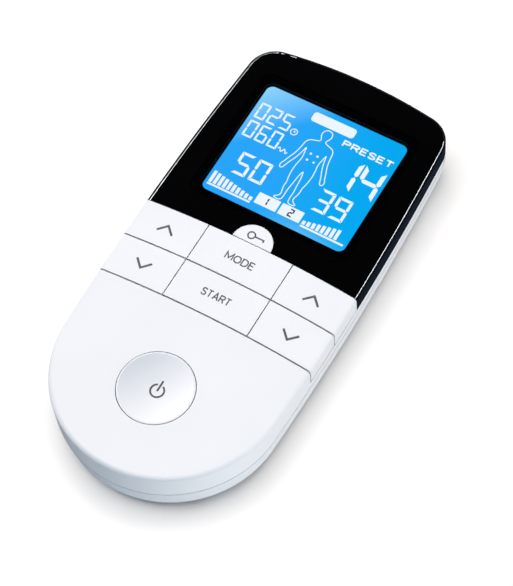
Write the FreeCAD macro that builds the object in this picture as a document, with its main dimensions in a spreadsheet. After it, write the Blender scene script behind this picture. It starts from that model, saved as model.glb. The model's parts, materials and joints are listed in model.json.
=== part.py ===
import FreeCAD, Part
import math
import os
from types import SimpleNamespace

import Sketcher

# Hand-held two-channel nerve stimulator, in millimetres.
# X runs across the body, Y along it towards the display end, Z up from the back face to the front.
# The origin is under the middle of the body, in the plane of the back face.

SIZES = {
    # outline of the body, seen from the front
    "body_length": 130.4,
    "body_width": 63.5,
    "body_height": 20.5,
    "end_narrowing": 0.7,        # half width at the widest section, less the round end's radius
    "widest_ahead": 34.0,        # from the round end's centre to the widest section
    "display_end_radius": 180.0,
    "corner_radius": 8.0,
    # shells
    "seam_height": 11.0,         # parting line between front and rear housing
    "front_edge_radius": 1.1,
    "crown_drop": 1.2,           # how far the front falls from the centre line to the widest side
    "seam_groove_height": 0.3,   # shadow groove round the front housing's lower edge
    "seam_groove_depth": 0.25,
    "back_edge_radius": 6.4,
    "back_draft": 7.0,           # degrees the rear housing leans in below the seam
    "wall": 1.8,
    "end_roof": 2.3,             # front face down to the ceiling of the round end
    "deck_depth": 2.6,           # front face down to the deck under the cover and keys
    "deck_thickness": 1.4,
    "deck_wall": 1.6,
    "deck_edge_radius": 0.8,
    "cover_fit": 0.1,
    "skirt_depth": 7.0,          # how far cover and outer keys reach down the side
    "lip_height": 0.8,           # rear housing's lip inside the front one
    "lip_root": 3.0,
    "lip_thickness": 1.0,
    # arced lines that divide the front, measured on the centre line
    "row_radius": 625.0,
    "cover_line": 6.7,
    "upper_row_line": -5.0,
    "lower_row_line": -17.05,
    "cover_gap": 0.2,
    "row_gap": 0.45,
    "column_line": 12.65,
    "column_gap": 0.32,
    # keys
    "key_thickness": 1.4,        # skirt of an outer key
    "key_face_thickness": 1.9,
    "key_travel": 0.25,
    "skirt_gap": 0.1,            # left under the skirt when a key is fully down
    "rest_gap": 0.3,             # key stem to switch
    "stem_radius": 2.0,
    "stem_hole_radius": 2.6,
    "peg_radius": 0.8,
    "peg_fit": 0.15,
    "peg_spacing": 9.0,
    "peg_head_radius": 1.15,
    "peg_head_height": 0.6,
    "rest_slack": 0.1,           # peg head to the underside of the deck
    "key_edge_distance": 10.45,  # side of the body to the middle of an outer key
    "lock_radius": 5.85,
    "lock_stem_line": 2.8,       # stem of the lock key, past the cover line
    "lock_gap": 0.15,
    "lock_thickness": 1.6,
    # power button
    "power_end_distance": 24.45, # round end to the middle of the button
    "power_radius": 10.35,
    "power_gap": 0.22,
    "power_dish_radius": 9.7,
    "power_dish_depth": 1.15,
    "power_stop_gap": 0.1,       # flange to the housing's ceiling
    "power_guide_depth": 3.0,
    "power_guide_wall": 1.2,
    "power_flange": 1.2,
    "power_flange_thickness": 1.0,
    "power_hollow_radius": 8.6,
    "power_face_thickness": 1.1,
    # display
    "lcd_side_margin": 10.25,    # side of the body to the visible area
    "lcd_end_margin": 12.15,     # display end to the visible area
    "lcd_cover_margin": 9.55,    # visible area to the cover line
    "lcd_depth": 2.5,            # front face down to the glass
    "lcd_border": 1.0,
    "lcd_corner_radius": 1.9,
    "lcd_frame_lip": 0.3,
    "lcd_frame_wall": 0.6,
    "lcd_fit": 0.1,
    "glass_thickness": 1.3,
    "glass_corner_radius": 0.6,
    "connector_width": 1.6,
    "connector_length": 36.0,
    "backlight_thickness": 2.9,
    "gasket_border": 0.5,        # visible area to the foam round it
    "window_border": 2.6,
    "window_thickness": 1.5,
    "window_corner_radius": 2.6,
    "window_fit": 0.05,
    # board
    "board_thickness": 1.0,
    "board_inset": 4.0,
    "board_fit": 0.2,
    "switch_size": 6.0,
    "switch_body_height": 2.5,
    "switch_height": 3.5,
    "switch_plunger_radius": 1.7,
    "board_screw_upper_column": 11.0,
    "board_screw_bay_gap": 1.65,     # screw head to the side of the battery bay
    "board_screw_power_line": 16.75,  # from the middle of the power button
    "board_post_radius": 1.9,
    "board_screw_radius": 0.7,
    "board_screw_length": 4.0,
    "board_screw_head_radius": 1.5,
    "board_screw_head_height": 1.0,
    # housing screws
    "boss_edge_distance": 9.1,   # side of the body to the middle of a boss
    "boss_cover_line": 3.1,      # upper bosses, past the cover line
    "boss_power_line": 7.75,     # lower bosses, from the middle of the power button
    "boss_radius": 3.2,
    "boss_tip_radius": 1.8,
    "pilot_depth": 4.4,
    "screw_radius": 1.0,
    "screw_clearance": 0.3,
    "screw_head_radius": 2.0,
    "screw_head_height": 1.5,
    "screw_sink": 4.0,
    "screw_length": 12.0,
    "boss_board_gap": 0.3,
    "root": 0.4,                 # how far a boss or stem is moulded into the wall it stands on
    # batteries
    "cell_radius": 5.15,
    "cell_length": 44.0,
    "cell_gap": 0.3,
    "cell_lid_gap": 0.1,
    "cell_cap_radius": 1.9,
    "cell_cap_height": 0.8,
    "bay_wall": 1.2,
    "bay_roof": 0.8,
    "bay_end_distance": 15.9,    # round end to the battery bay
    "bay_spring_room": 5.6,
    "contact_thickness": 0.4,
    "leaf_width": 4.5,
    "leaf_rise": 3.6,
    "leaf_tip": 0.9,
    "leaf_thickness": 0.35,
    "plate_size": 8.0,
    # battery cover
    "lid_thickness": 1.2,
    "lid_half_width": 19.6,
    "lid_past_bay": 3.9,         # end of the cover, past the bay
    "lid_fit": 0.15,
    "lid_seat_thickness": 1.8,
    "lid_seat_border": 2.5,
    "lug_column": 17.7,
    "lug_stem": 0.7,
    "lug_lip": 0.7,
    "lug_lip_thickness": 0.6,
    "lug_height": 1.35,
    "lug_length": 6.0,
    "lug_first": 12.2,           # end of the cover to the first pair of lugs
    "lug_pitch": 30.0,
    "tab_width": 8.0,
    "tab_length": 1.3,
    "tab_thickness": 0.5,
    "grip_width": 16.0,
    "grip_grooves": 5,
    "grip_groove": 1.0,
    "grip_depth": 0.35,
    "grip_pitch": 2.2,
    "grip_first": 7.2,           # end of the cover to the first groove
    # output sockets
    "socket_column": 12.0,
    "socket_height": 7.3,
    "socket_bore_radius": 1.3,
    "socket_bore_length": 11.0,
    "socket_nose_radius": 2.7,
    "socket_nose_length": 3.3,
    "socket_body_width": 8.0,
    "socket_body_length": 11.0,
    "socket_fit": 0.1,
    "socket_recess": 0.6,        # nose end behind the edge of the seam
    "tongue_width": 2.4,
    # components under the board; distances run from the display end
    "controller_distance": 23.2,
    "component_gap": 1.5,
    "chip_size": 10.0,
    "chip_height": 1.6,
    "buzzer_distance": 9.7,
    "buzzer_radius": 4.5,
    "buzzer_height": 3.2,
    "crystal_length": 7.6,
    "crystal_width": 3.6,
    "crystal_height": 3.0,
    "coil_column": 9.0,
    "coil_width": 12.0,
    "coil_length": 9.0,
    "coil_height": 7.5,
    "coil_step": 1.0,
    "store_column": 20.5,
    "store_radius": 3.2,
    "store_height": 8.0,
    "driver_width": 6.0,
    "driver_length": 5.0,
}


class Dim:
    """A length with its number and the same sum written in the sheet's aliases."""

    def __init__(self, value, text):
        self.value = value
        self.text = text

    def join(self, other, sign, number):
        return Dim(number, "(%s %s %s)" % (self.text, sign, other.text))

    def __add__(self, other):
        other = dim(other)
        return self.join(other, "+", self.value + other.value)

    def __radd__(self, other):
        return dim(other) + self

    def __sub__(self, other):
        other = dim(other)
        return self.join(other, "-", self.value - other.value)

    def __rsub__(self, other):
        return dim(other) - self

    def __mul__(self, other):
        other = dim(other)
        return self.join(other, "*", self.value * other.value)

    def __rmul__(self, other):
        return dim(other) * self

    def __truediv__(self, other):
        other = dim(other)
        return self.join(other, "/", self.value / other.value)

    def __neg__(self):
        return Dim(-self.value, "(0 - %s)" % self.text)


def dim(value):
    return value if isinstance(value, Dim) else Dim(float(value), repr(float(value)))


def root(length):
    return Dim(math.sqrt(length.value), "sqrt(%s)" % length.text)


doc = FreeCAD.newDocument("stimulator")
sheet = doc.addObject("Spreadsheet::Sheet", "Sizes")
for row, (alias, number) in enumerate(SIZES.items(), 1):
    sheet.set("A%d" % row, alias)
    sheet.set("B%d" % row, str(number))
    sheet.setAlias("B%d" % row, alias)
doc.recompute()
s = SimpleNamespace(**{alias: Dim(number, "Sizes." + alias) for alias, number in SIZES.items()})

pieces = []


# ---- drawing helpers ----

def bind(thing, prop, length):
    thing.setExpression(prop, dim(length).text)


def place(thing, x, y, z):
    """Puts an object's origin at a point given by formulas."""
    for axis, length in zip("xyz", (x, y, z)):
        bind(thing, "Placement.Base." + axis, length)
    return thing


def box(name, x0, x1, y0, y1, z0, z1):
    """A block between two opposite corners."""
    block = doc.addObject("Part::Box", name)
    bind(block, "Length", dim(x1) - x0)
    bind(block, "Width", dim(y1) - y0)
    bind(block, "Height", dim(z1) - z0)
    return place(block, x0, y0, z0)


def centred_box(name, x, y, width, length, z0, z1):
    half_x, half_y = dim(width) / 2, dim(length) / 2
    return box(name, x - half_x, x + half_x, y - half_y, y + half_y, z0, z1)


def rod(name, x, y, z0, z1, radius):
    """An upright cylinder."""
    cylinder = doc.addObject("Part::Cylinder", name)
    bind(cylinder, "Radius", radius)
    bind(cylinder, "Height", dim(z1) - z0)
    return place(cylinder, x, y, z0)


def rod_along_y(name, x, z, y0, y1, radius):
    """A cylinder that lies along the body, from y0 up to y1."""
    cylinder = doc.addObject("Part::Cylinder", name)
    bind(cylinder, "Radius", radius)
    bind(cylinder, "Height", dim(y1) - y0)
    cylinder.Placement.Rotation = FreeCAD.Rotation(FreeCAD.Vector(1, 0, 0), -90)
    return place(cylinder, x, y0, z)


def cut(name, base, *tools):
    result = doc.addObject("Part::Cut", name)
    result.Base = base
    result.Tool = tools[0] if len(tools) == 1 else fuse(name + "_tools", *tools)
    return result


def fuse(name, *parts):
    joined = doc.addObject("Part::MultiFuse", name)
    joined.Shapes = list(parts)
    return joined


def common(name, *parts):
    shared = doc.addObject("Part::MultiCommon", name)
    shared.Shapes = list(parts)
    return shared


def group(name, *parts):
    """Separate solids that share one node."""
    together = doc.addObject("Part::Compound", name)
    together.Links = list(parts)
    return together


def piece(thing, node):
    """Marks an object as one of the finished pieces."""
    thing.Label = node
    pieces.append(thing)
    return thing


def new_body(name):
    return doc.addObject("PartDesign::Body", name)


def sketch_on(body, name, height=0, role="XY_Plane"):
    sketch = body.newObject("Sketcher::SketchObject", name)
    plane = [f for f in body.Origin.OriginFeatures if f.Role == role][0]
    sketch.AttachmentSupport = [(plane, "")]
    sketch.MapMode = "FlatFace"
    bind(sketch, ".AttachmentOffset.Base.z", height)
    return sketch


def hold(sketch, kind, *arguments):
    """Adds a constraint; a last argument that is a formula sets its value."""
    formula = arguments[-1] if isinstance(arguments[-1], Dim) else None
    if formula is None:
        return sketch.addConstraint(Sketcher.Constraint(kind, *arguments))
    index = sketch.addConstraint(Sketcher.Constraint(kind, *arguments[:-1], formula.value))
    sketch.setExpression("Constraints[%d]" % index, formula.text)
    return index


def hold_point(sketch, geometry, end, x, y):
    """Ties one end of a line or arc, or a centre, to its place."""
    for kind, axis, length in (("DistanceX", -2, dim(x)), ("DistanceY", -1, dim(y))):
        if abs(length.value) < 1e-9:
            hold(sketch, "PointOnObject", geometry, end, axis)
        else:
            hold(sketch, kind, -1, 1, geometry, end, length)


def vector(x, y):
    return FreeCAD.Vector(dim(x).value, dim(y).value, 0)


def draw_polygon(sketch, points):
    """A closed chain of straight lines through points given by formulas."""
    count = len(points)
    for number, point in enumerate(points):
        following = points[(number + 1) % count]
        sketch.addGeometry(Part.LineSegment(vector(*point), vector(*following)), False)
    for number, point in enumerate(points):
        hold(sketch, "Coincident", (number - 1) % count, 2, number, 1)
        hold_point(sketch, number, 1, *point)


def pad(body, sketch, length, name="Pad"):
    feature = body.newObject("PartDesign::Pad", name)
    feature.Profile = sketch
    bind(feature, "Length", length)
    return feature


def round_edges(body, base, radius, chosen, name="Fillet"):
    """Rounds the edges of a feature that pass a test."""
    doc.recompute()
    edges = ["Edge%d" % n for n, edge in enumerate(base.Shape.Edges, 1) if chosen(edge)]
    feature = body.newObject("PartDesign::Fillet", name)
    feature.Base = (base, edges)
    bind(feature, "Radius", radius)
    return feature


def at_height(height):
    return lambda edge: all(abs(v.Z - dim(height).value) < 1e-4 for v in edge.Vertexes)


def is_upright(edge):
    ends = [v.Point for v in edge.Vertexes]
    return len(ends) == 2 and abs(ends[0].z - ends[1].z) > 1e-3 and \
        math.hypot(ends[0].x - ends[1].x, ends[0].y - ends[1].y) < 1e-6


def rounded_block(name, x, y, width, length, z0, z1, radius):
    """A block with rounded upright edges, centred on x, y."""
    body = new_body(name)
    sketch = sketch_on(body, name + "_sketch", z0)
    half_x, half_y = dim(width) / 2, dim(length) / 2
    draw_polygon(sketch, [(x - half_x, y - half_y), (x + half_x, y - half_y),
                          (x + half_x, y + half_y), (x - half_x, y + half_y)])
    block = pad(body, sketch, dim(z1) - z0, name + "_pad")
    round_edges(body, block, radius, is_upright, name + "_corners")
    return body


# ---- outline of the body ----

half_width = s.body_width / 2
display_end = s.body_length / 2
round_end_radius = half_width - s.end_narrowing
round_end_y = round_end_radius - display_end
widest_y = round_end_y + s.widest_ahead
display_end_centre_y = display_end - s.display_end_radius
side_radius = (s.widest_ahead * s.widest_ahead / s.end_narrowing + half_width + round_end_radius) / 2


def circle_arc(x, y, radius, start, end):
    return Part.ArcOfCircle(Part.Circle(FreeCAD.Vector(x, y, 0), FreeCAD.Vector(0, 0, 1), radius), start, end)


def draw_outline(sketch, inset=0):
    """The body's outline: six tangent arcs, moved inwards by an inset."""
    inset = dim(inset)
    end_y, side_y, top_y = round_end_y.value, widest_y.value, display_end_centre_y.value
    end_r, side_r = round_end_radius.value, side_radius.value
    top_r, corner_r = s.display_end_radius.value, s.corner_radius.value
    side_x = half_width.value - side_r
    # the corner's centre lies where the side and the display end, both moved in by its radius, meet
    to_side, to_top = side_r - corner_r, top_r - corner_r
    between = math.hypot(side_x, top_y - side_y)
    along = (to_side ** 2 - to_top ** 2 + between ** 2) / (2 * between)
    off = math.sqrt(to_side ** 2 - along ** 2)
    ux, uy = -side_x / between, (top_y - side_y) / between
    corner_x, corner_y = side_x + along * ux - off * uy, side_y + along * uy + off * ux
    if corner_y < 0:
        corner_x, corner_y = side_x + along * ux + off * uy, side_y + along * uy - off * ux
    low = math.atan2(end_y - side_y, -side_x)
    side_end = math.atan2(corner_y - side_y, corner_x - side_x)
    corner_end = math.atan2(corner_y - top_y, corner_x)
    shrink = inset.value
    arcs = [circle_arc(0, end_y, end_r - shrink, math.pi - low, 2 * math.pi + low),
            circle_arc(side_x, side_y, side_r - shrink, low, side_end),
            circle_arc(corner_x, corner_y, corner_r - shrink, side_end, corner_end),
            circle_arc(0, top_y, top_r - shrink, corner_end, math.pi - corner_end),
            circle_arc(-corner_x, corner_y, corner_r - shrink, math.pi - corner_end, math.pi - side_end),
            circle_arc(-side_x, side_y, side_r - shrink, math.pi - side_end, math.pi - low)]
    sketch.addGeometry(arcs, False)
    for number in range(6):
        hold(sketch, "Tangent", number, 2, (number + 1) % 6, 1)
    radii = [round_end_radius, side_radius, s.corner_radius, s.display_end_radius, s.corner_radius,
             side_radius]
    for number, radius in enumerate(radii):
        hold(sketch, "Radius", number, radius - inset)
    hold_point(sketch, 0, 3, 0, round_end_y)
    hold_point(sketch, 3, 3, 0, display_end_centre_y)
    for number in (1, 5):
        hold(sketch, "DistanceY", -1, 1, number, 3, widest_y)


def outline_block(name, inset, z0, z1, edge_radius=None):
    """The outline as a block between two heights, with its upper edge rounded if asked."""
    body = new_body(name)
    sketch = sketch_on(body, name + "_outline", z0)
    draw_outline(sketch, inset)
    block = pad(body, sketch, dim(z1) - z0, name + "_pad")
    if edge_radius is not None:
        round_edges(body, block, edge_radius, at_height(z1), name + "_edge")
    return body


def crowned_block(name, z0):
    """The outline up to the front face, which is crowned across the body and rounded at its edge."""
    body = new_body(name)
    sketch = sketch_on(body, name + "_outline", z0)
    draw_outline(sketch)
    pad(body, sketch, front - z0, name + "_pad")
    waste = sketch_on(body, name + "_crown", 0, "XZ_Plane")
    draw_crown_waste(waste)
    pocket = body.newObject("PartDesign::Pocket", name + "_crowned")
    pocket.Profile = waste
    pocket.Midplane = True
    bind(pocket, "Length", far_end * 2)
    lowest = front.value - s.crown_drop.value - past
    round_edges(body, pocket, s.front_edge_radius,
                lambda edge: edge.BoundBox.ZMin > lowest and not is_upright(edge), name + "_edge")
    return body


def draw_crown_waste(sketch):
    """What the crown takes off: between its arc and a line above the body, out to the reach."""
    middle = front.value - crown_radius.value
    foot = middle + math.sqrt(crown_radius.value ** 2 - reach.value ** 2)
    start = math.atan2(foot - middle, reach.value)
    sketch.addGeometry(circle_arc(0, middle, crown_radius.value, start, math.pi - start), False)
    corners = [vector(-reach, foot), vector(-reach, above), vector(reach, above), vector(reach, foot)]
    for first, second in zip(corners, corners[1:]):
        sketch.addGeometry(Part.LineSegment(first, second), False)
    for number in range(4):
        hold(sketch, "Coincident", number, 2, (number + 1) % 4, 1)
    hold(sketch, "Radius", 0, crown_radius)
    hold_point(sketch, 0, 3, 0, front - crown_radius)
    hold_point(sketch, 2, 1, -reach, above)
    hold_point(sketch, 2, 2, reach, above)
    hold(sketch, "Vertical", 1)
    hold(sketch, "Vertical", 3)


def tapered_block(name, inset, z0, z1, edge_radius):
    """The outline drawn at the upper height, drafted inwards on its way down, lower edge rounded."""
    body = new_body(name)
    sketch = sketch_on(body, name + "_outline", z1)
    draw_outline(sketch, inset)
    block = pad(body, sketch, dim(z1) - z0, name + "_pad")
    block.Reversed = True
    bind(block, "TaperAngle", -s.back_draft)
    round_edges(body, block, edge_radius, at_height(z0), name + "_edge")
    return body


# ---- heights and lines shared by several pieces ----

front = s.body_height
crown_radius = (half_width * half_width + s.crown_drop * s.crown_drop) / (s.crown_drop * 2)
end_ceiling = front - s.end_roof
deck_top = front - s.deck_depth
deck_under = deck_top - s.deck_thickness
skirt_edge = front - s.skirt_depth
deck_inset = s.wall + s.cover_fit
board_top = front - s.lcd_depth - s.glass_thickness - s.backlight_thickness
board_under = board_top - s.board_thickness
stem_end = board_top + s.switch_height + s.rest_gap
past = 1                         # how far a cutting block runs past the face that it opens
above = front + past * 5
reach = s.body_width             # past the body on either side
far_end = s.body_length          # past the body at either end

power_line = s.power_end_distance - display_end
lcd_width = s.body_width - s.lcd_side_margin * 2
lcd_length = display_end - s.lcd_end_margin - s.cover_line - s.lcd_cover_margin
lcd_line = s.cover_line + s.lcd_cover_margin + lcd_length / 2
glass_top = front - s.lcd_depth
glass_under = glass_top - s.glass_thickness
glass_width = lcd_width + s.lcd_border * 2
glass_length = lcd_length + s.lcd_border * 2
frame_width = glass_width + (s.lcd_fit + s.lcd_frame_wall) * 2
frame_length = glass_length + (s.lcd_fit + s.lcd_frame_wall) * 2
frame_top = glass_top + s.lcd_frame_lip
frame_corner = s.glass_corner_radius + s.lcd_frame_wall


def below_row(name, line, z0=-past, z1=above):
    """Everything on the round end's side of an arced line across the front."""
    return rod(name, 0, dim(line) - s.row_radius, z0, z1, s.row_radius)


def row_sag(x):
    """How far an arced line falls back at a distance from the centre line."""
    return s.row_radius - root(s.row_radius * s.row_radius - x * x)


def key_centre(column, row):
    """Centre of a key's face; column is -1, 0 or 1, row is 0 for the upper one."""
    upper, lower = ((s.cover_line, s.upper_row_line), (s.upper_row_line, s.lower_row_line))[row]
    x = (half_width - s.key_edge_distance) * column
    return x, (upper + lower) / 2 - row_sag(x)


KEYS = {"key_left_up": (-1, 0), "key_left_down": (-1, 1), "key_mode": (0, 0), "key_start": (0, 1),
        "key_right_up": (1, 0), "key_right_down": (1, 1)}
lock_y = s.cover_line + s.lock_stem_line
switch_spots = [key_centre(*spot) for spot in KEYS.values()] + [(dim(0), lock_y), (dim(0), power_line)]

cell_pitch = s.cell_radius * 2 + s.cell_gap
bay_half = cell_pitch + s.cell_radius + s.cell_gap
bay_low = s.bay_end_distance - display_end
bay_high = bay_low + s.cell_length + s.bay_spring_room
lid_line = bay_high + s.lid_past_bay

boss_lines = (s.cover_line + s.boss_cover_line, power_line + s.boss_power_line)
bosses = [((half_width - s.boss_edge_distance) * side, line) for line in boss_lines for side in (-1, 1)]
beside_bay = bay_half + s.bay_wall + s.board_screw_head_radius + s.board_screw_bay_gap
board_posts = [(side * column, line) for side in (-1, 1)
               for column, line in ((s.board_screw_upper_column, boss_lines[0]),
                                    (beside_bay, power_line + s.board_screw_power_line))]


def ceiling(line):
    """Underside of the front housing above a boss on the board."""
    clear_of_deck = line.value + s.boss_radius.value < s.lower_row_line.value
    return end_ceiling if clear_of_deck else deck_under


# ---- front housing ----

def space_over_deck(name, line_gap, lowest):
    """Where the cover and the keys sit: past the lower row line and above a height."""
    block = box(name + "_block", -reach, reach, -far_end, far_end, lowest, above)
    return cut(name, block, below_row(name + "_limit", s.lower_row_line - line_gap, -past, above + past))


def make_front_housing():
    groove_top = s.seam_height + s.seam_groove_height
    shell = fuse("front_form", crowned_block("front_outside", groove_top),
                 outline_block("front_foot", s.seam_groove_depth, s.seam_height, groove_top))
    deck = outline_block("deck_form", deck_inset, s.seam_height, deck_top, s.deck_edge_radius)
    over_deck = cut("over_deck", space_over_deck("key_field", s.row_gap / 2, skirt_edge), deck)
    low_hollow = outline_block("low_hollow", s.wall, s.seam_height - past, skirt_edge - s.deck_wall)
    deck_hollow = outline_block("deck_hollow", deck_inset + s.deck_wall, s.seam_height - past, deck_under)
    end_hollow = common(
        "end_hollow", outline_block("end_hollow_form", s.wall, s.seam_height - past, end_ceiling),
        below_row("end_hollow_limit", s.lower_row_line - s.row_gap / 2 - s.deck_wall))
    openings = [rounded_block("deck_lcd_opening", dim(0), lcd_line,
                              frame_width + s.lcd_fit * 2, frame_length + s.lcd_fit * 2,
                              deck_under - past, above, frame_corner + s.lcd_fit),
                rod("power_hole", 0, power_line, deck_under - past, above, s.power_radius)]
    for name, spot in KEYS.items():
        x, y = key_centre(*spot)
        openings.append(rod(name + "_stem_hole", x, y, deck_under - past, above, s.stem_hole_radius))
        for side in (-1, 1):
            openings.append(rod("%s_peg_hole_%d" % (name, side + 1), x + s.peg_spacing / 2 * side, y,
                                deck_under - past, above, s.peg_radius + s.peg_fit))
    openings.append(rod("lock_stem_hole", 0, lock_y, deck_under - past, above, s.stem_hole_radius))
    hollowed = cut("front_hollowed", shell, over_deck, low_hollow, deck_hollow, end_hollow, *openings)

    added = []
    for number, (x, y) in enumerate(bosses, 1):
        roof = ceiling(y) + s.root
        added.append(rod("front_boss_%d" % number, x, y, board_top + s.boss_board_gap, roof, s.boss_radius))
        added.append(rod("front_boss_tip_%d" % number, x, y, board_under, roof, s.boss_tip_radius))
    for number, (x, y) in enumerate(board_posts, 1):
        added.append(rod("board_post_%d" % number, x, y, board_top, ceiling(y) + s.root, s.board_post_radius))
    guide_bore = power_flange_radius + s.power_gap
    guide_foot = end_ceiling - s.power_guide_depth
    guide = cut("power_guide",
                rod("power_guide_tube", 0, power_line, guide_foot, end_ceiling + s.root,
                    guide_bore + s.power_guide_wall),
                rod("power_guide_bore", 0, power_line, guide_foot - past, above, guide_bore))
    solid = fuse("front_with_bosses", hollowed, guide, *added)
    pilots = [rod("pilot_%d" % number, x, y, board_under - past, board_under + s.pilot_depth, s.screw_radius)
              for number, (x, y) in enumerate(bosses, 1)]
    pilots += [rod("post_pilot_%d" % number, x, y, board_under, board_under + s.board_screw_length,
                   s.board_screw_radius)
               for number, (x, y) in enumerate(board_posts, 1)]
    return piece(cut("front_housing", solid, *pilots), "front_housing")


# ---- display cover and window ----

window_width = lcd_width + s.window_border * 2
window_length = lcd_length + s.window_border * 2


def make_display_cover():
    skin = cut("cover_skin", crowned_block("cover_form", skirt_edge),
               outline_block("cover_inside", s.wall, skirt_edge - past, deck_top, s.deck_edge_radius))
    fit = s.window_fit
    opening = rounded_block("cover_opening", dim(0), lcd_line, window_width + fit * 2,
                            window_length + fit * 2, deck_top - past, above, s.window_corner_radius + fit)
    notch = rod("lock_notch", 0, s.cover_line, skirt_edge, above, s.lock_radius)
    keys_side = below_row("cover_limit", s.cover_line + s.cover_gap / 2)
    return piece(cut("display_cover", skin, keys_side, opening, notch), "display_cover")


def make_display_window():
    block = rounded_block("window_block", dim(0), lcd_line, window_width, window_length,
                          front - s.window_thickness, front, s.window_corner_radius)
    crown = rod_along_y("window_crown", 0, front - crown_radius, 0, display_end, crown_radius)
    return piece(common("window_pane", block, crown), "display_window")


def make_window_gasket():
    """Black foam strip round the deck's opening, on which the pane rests."""
    ring = rounded_block("window_gasket_block", dim(0), lcd_line, window_width, window_length,
                         deck_top, front - s.window_thickness, s.window_corner_radius)
    clear = rounded_block("window_gasket_opening", dim(0), lcd_line, frame_width + s.lcd_fit * 2,
                          frame_length + s.lcd_fit * 2, deck_top - past, above, frame_corner + s.lcd_fit)
    piece(cut("window_gasket_ring", ring, clear), "window_gasket")


# ---- keys ----

def make_keys():
    under = front - s.key_face_thickness
    skin = cut("key_skin", crowned_block("key_form", skirt_edge + s.key_travel + s.skirt_gap),
               outline_block("key_inside", s.key_thickness, skirt_edge - past, under))
    lines = (s.cover_line, s.upper_row_line, s.lower_row_line)
    gaps = (s.cover_gap, s.row_gap, s.row_gap)
    rows = []
    for number in (0, 1):
        upper = below_row("row_%d_top" % number, lines[number] - gaps[number] / 2)
        lower = below_row("row_%d_foot" % number, lines[number + 1] + gaps[number + 1] / 2)
        rows.append(cut("row_%d" % number, common("row_%d_skin" % number, skin, upper), lower))
    edge = s.column_line + s.column_gap / 2
    columns = {-1: (-reach, -edge), 0: (s.column_gap / 2 - s.column_line, s.column_line - s.column_gap / 2),
               1: (edge, reach)}
    for name, (column, row) in KEYS.items():
        left, right = columns[column]
        field = box(name + "_field", left, right, -far_end, far_end, 0, above)
        cap = common(name + "_cap", rows[row], field)
        x, y = key_centre(column, row)
        parts = [cap, rod(name + "_stem", x, y, stem_end, under + s.root, s.stem_radius)]
        for side in (-1, 1):
            parts.append(rod("%s_peg_%d" % (name, side + 1), x + s.peg_spacing / 2 * side, y,
                             deck_under - s.rest_slack, under + s.root, s.peg_radius))
            parts.append(rod("%s_peg_head_%d" % (name, side + 1), x + s.peg_spacing / 2 * side, y,
                             deck_under - s.rest_slack - s.peg_head_height, deck_under - s.rest_slack,
                             s.peg_head_radius))
        piece(fuse(name, *parts), name)


def make_key_lock():
    disc = rod("lock_disc", 0, s.cover_line, front - s.lock_thickness, front, s.lock_radius - s.lock_gap)
    cap = cut("lock_cap", disc, below_row("lock_limit", s.cover_line + s.lock_gap))
    stem = rod("lock_stem", 0, lock_y, stem_end, front - s.lock_thickness + s.root, s.stem_radius)
    return piece(fuse("key_lock", cap, stem), "key_lock")


# ---- power button ----

power_edge = s.power_radius - s.power_gap
power_flange_radius = power_edge + s.power_flange
power_dish_sphere = (s.power_dish_radius * s.power_dish_radius
                     + s.power_dish_depth * s.power_dish_depth) / (s.power_dish_depth * 2)


def make_power_button():
    body = new_body("power_turning")
    sketch = sketch_on(body, "power_profile", 0, "XZ_Plane")
    foot = end_ceiling - s.power_stop_gap - s.power_flange_thickness
    hollow_top = front - s.power_dish_depth - s.power_face_thickness
    draw_polygon(sketch, [(0, stem_end), (s.stem_radius, stem_end), (s.stem_radius, hollow_top),
                          (s.power_hollow_radius, hollow_top), (s.power_hollow_radius, foot),
                          (power_flange_radius, foot), (power_flange_radius, foot + s.power_flange_thickness),
                          (power_edge, foot + s.power_flange_thickness), (power_edge, front), (0, front)])
    turned = body.newObject("PartDesign::Revolution", "power_turned")
    turned.Profile = sketch
    turned.ReferenceAxis = (sketch, ["V_Axis"])
    turned.Angle = 360
    place(body, 0, power_line, 0)
    dish = doc.addObject("Part::Sphere", "power_dish")
    bind(dish, "Radius", power_dish_sphere)
    place(dish, 0, power_line, front - s.power_dish_depth + power_dish_sphere)
    return piece(cut("power_button", body, dish), "power_button")


# ---- display ----

def make_display():
    middle = dim(0), lcd_line
    piece(rounded_block("glass_block", *middle, glass_width, glass_length, glass_under, glass_top,
                        s.glass_corner_radius), "lcd_glass")
    # the elastomer strip stands under one edge of the glass, and the light guide fills the rest
    glass_end = lcd_line + glass_length / 2
    strip_end = glass_end - s.lcd_fit
    strip_start = strip_end - s.connector_width
    piece(box("connector_block", -s.connector_length / 2, s.connector_length / 2, strip_start, strip_end,
              board_top, glass_under), "lcd_connector")
    guide_length = strip_start - s.lcd_fit - (glass_end - glass_length)
    piece(rounded_block("backlight_block", dim(0), glass_end - glass_length + guide_length / 2, glass_width,
                        guide_length, board_top, glass_under, s.glass_corner_radius), "lcd_backlight")
    frame = rounded_block("lcd_frame_block", *middle, frame_width, frame_length, board_top, frame_top,
                          frame_corner)
    nest = rounded_block("lcd_frame_nest", *middle, glass_width + s.lcd_fit * 2, glass_length + s.lcd_fit * 2,
                         board_top - past, glass_top, s.glass_corner_radius)
    view = rounded_block("lcd_frame_view", *middle, lcd_width, lcd_length, board_top - past, above,
                         s.lcd_corner_radius)
    piece(cut("lcd_frame_ring", frame, nest, view), "lcd_frame")
    foam = rounded_block("display_gasket_block", *middle, frame_width, frame_length, frame_top,
                         front - s.window_thickness, frame_corner)
    clear = rounded_block("display_gasket_opening", *middle, lcd_width + s.gasket_border * 2,
                          lcd_length + s.gasket_border * 2, board_top, above,
                          s.lcd_corner_radius + s.gasket_border)
    piece(cut("display_gasket_ring", foam, clear), "display_gasket")


# ---- board and what it carries ----

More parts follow.
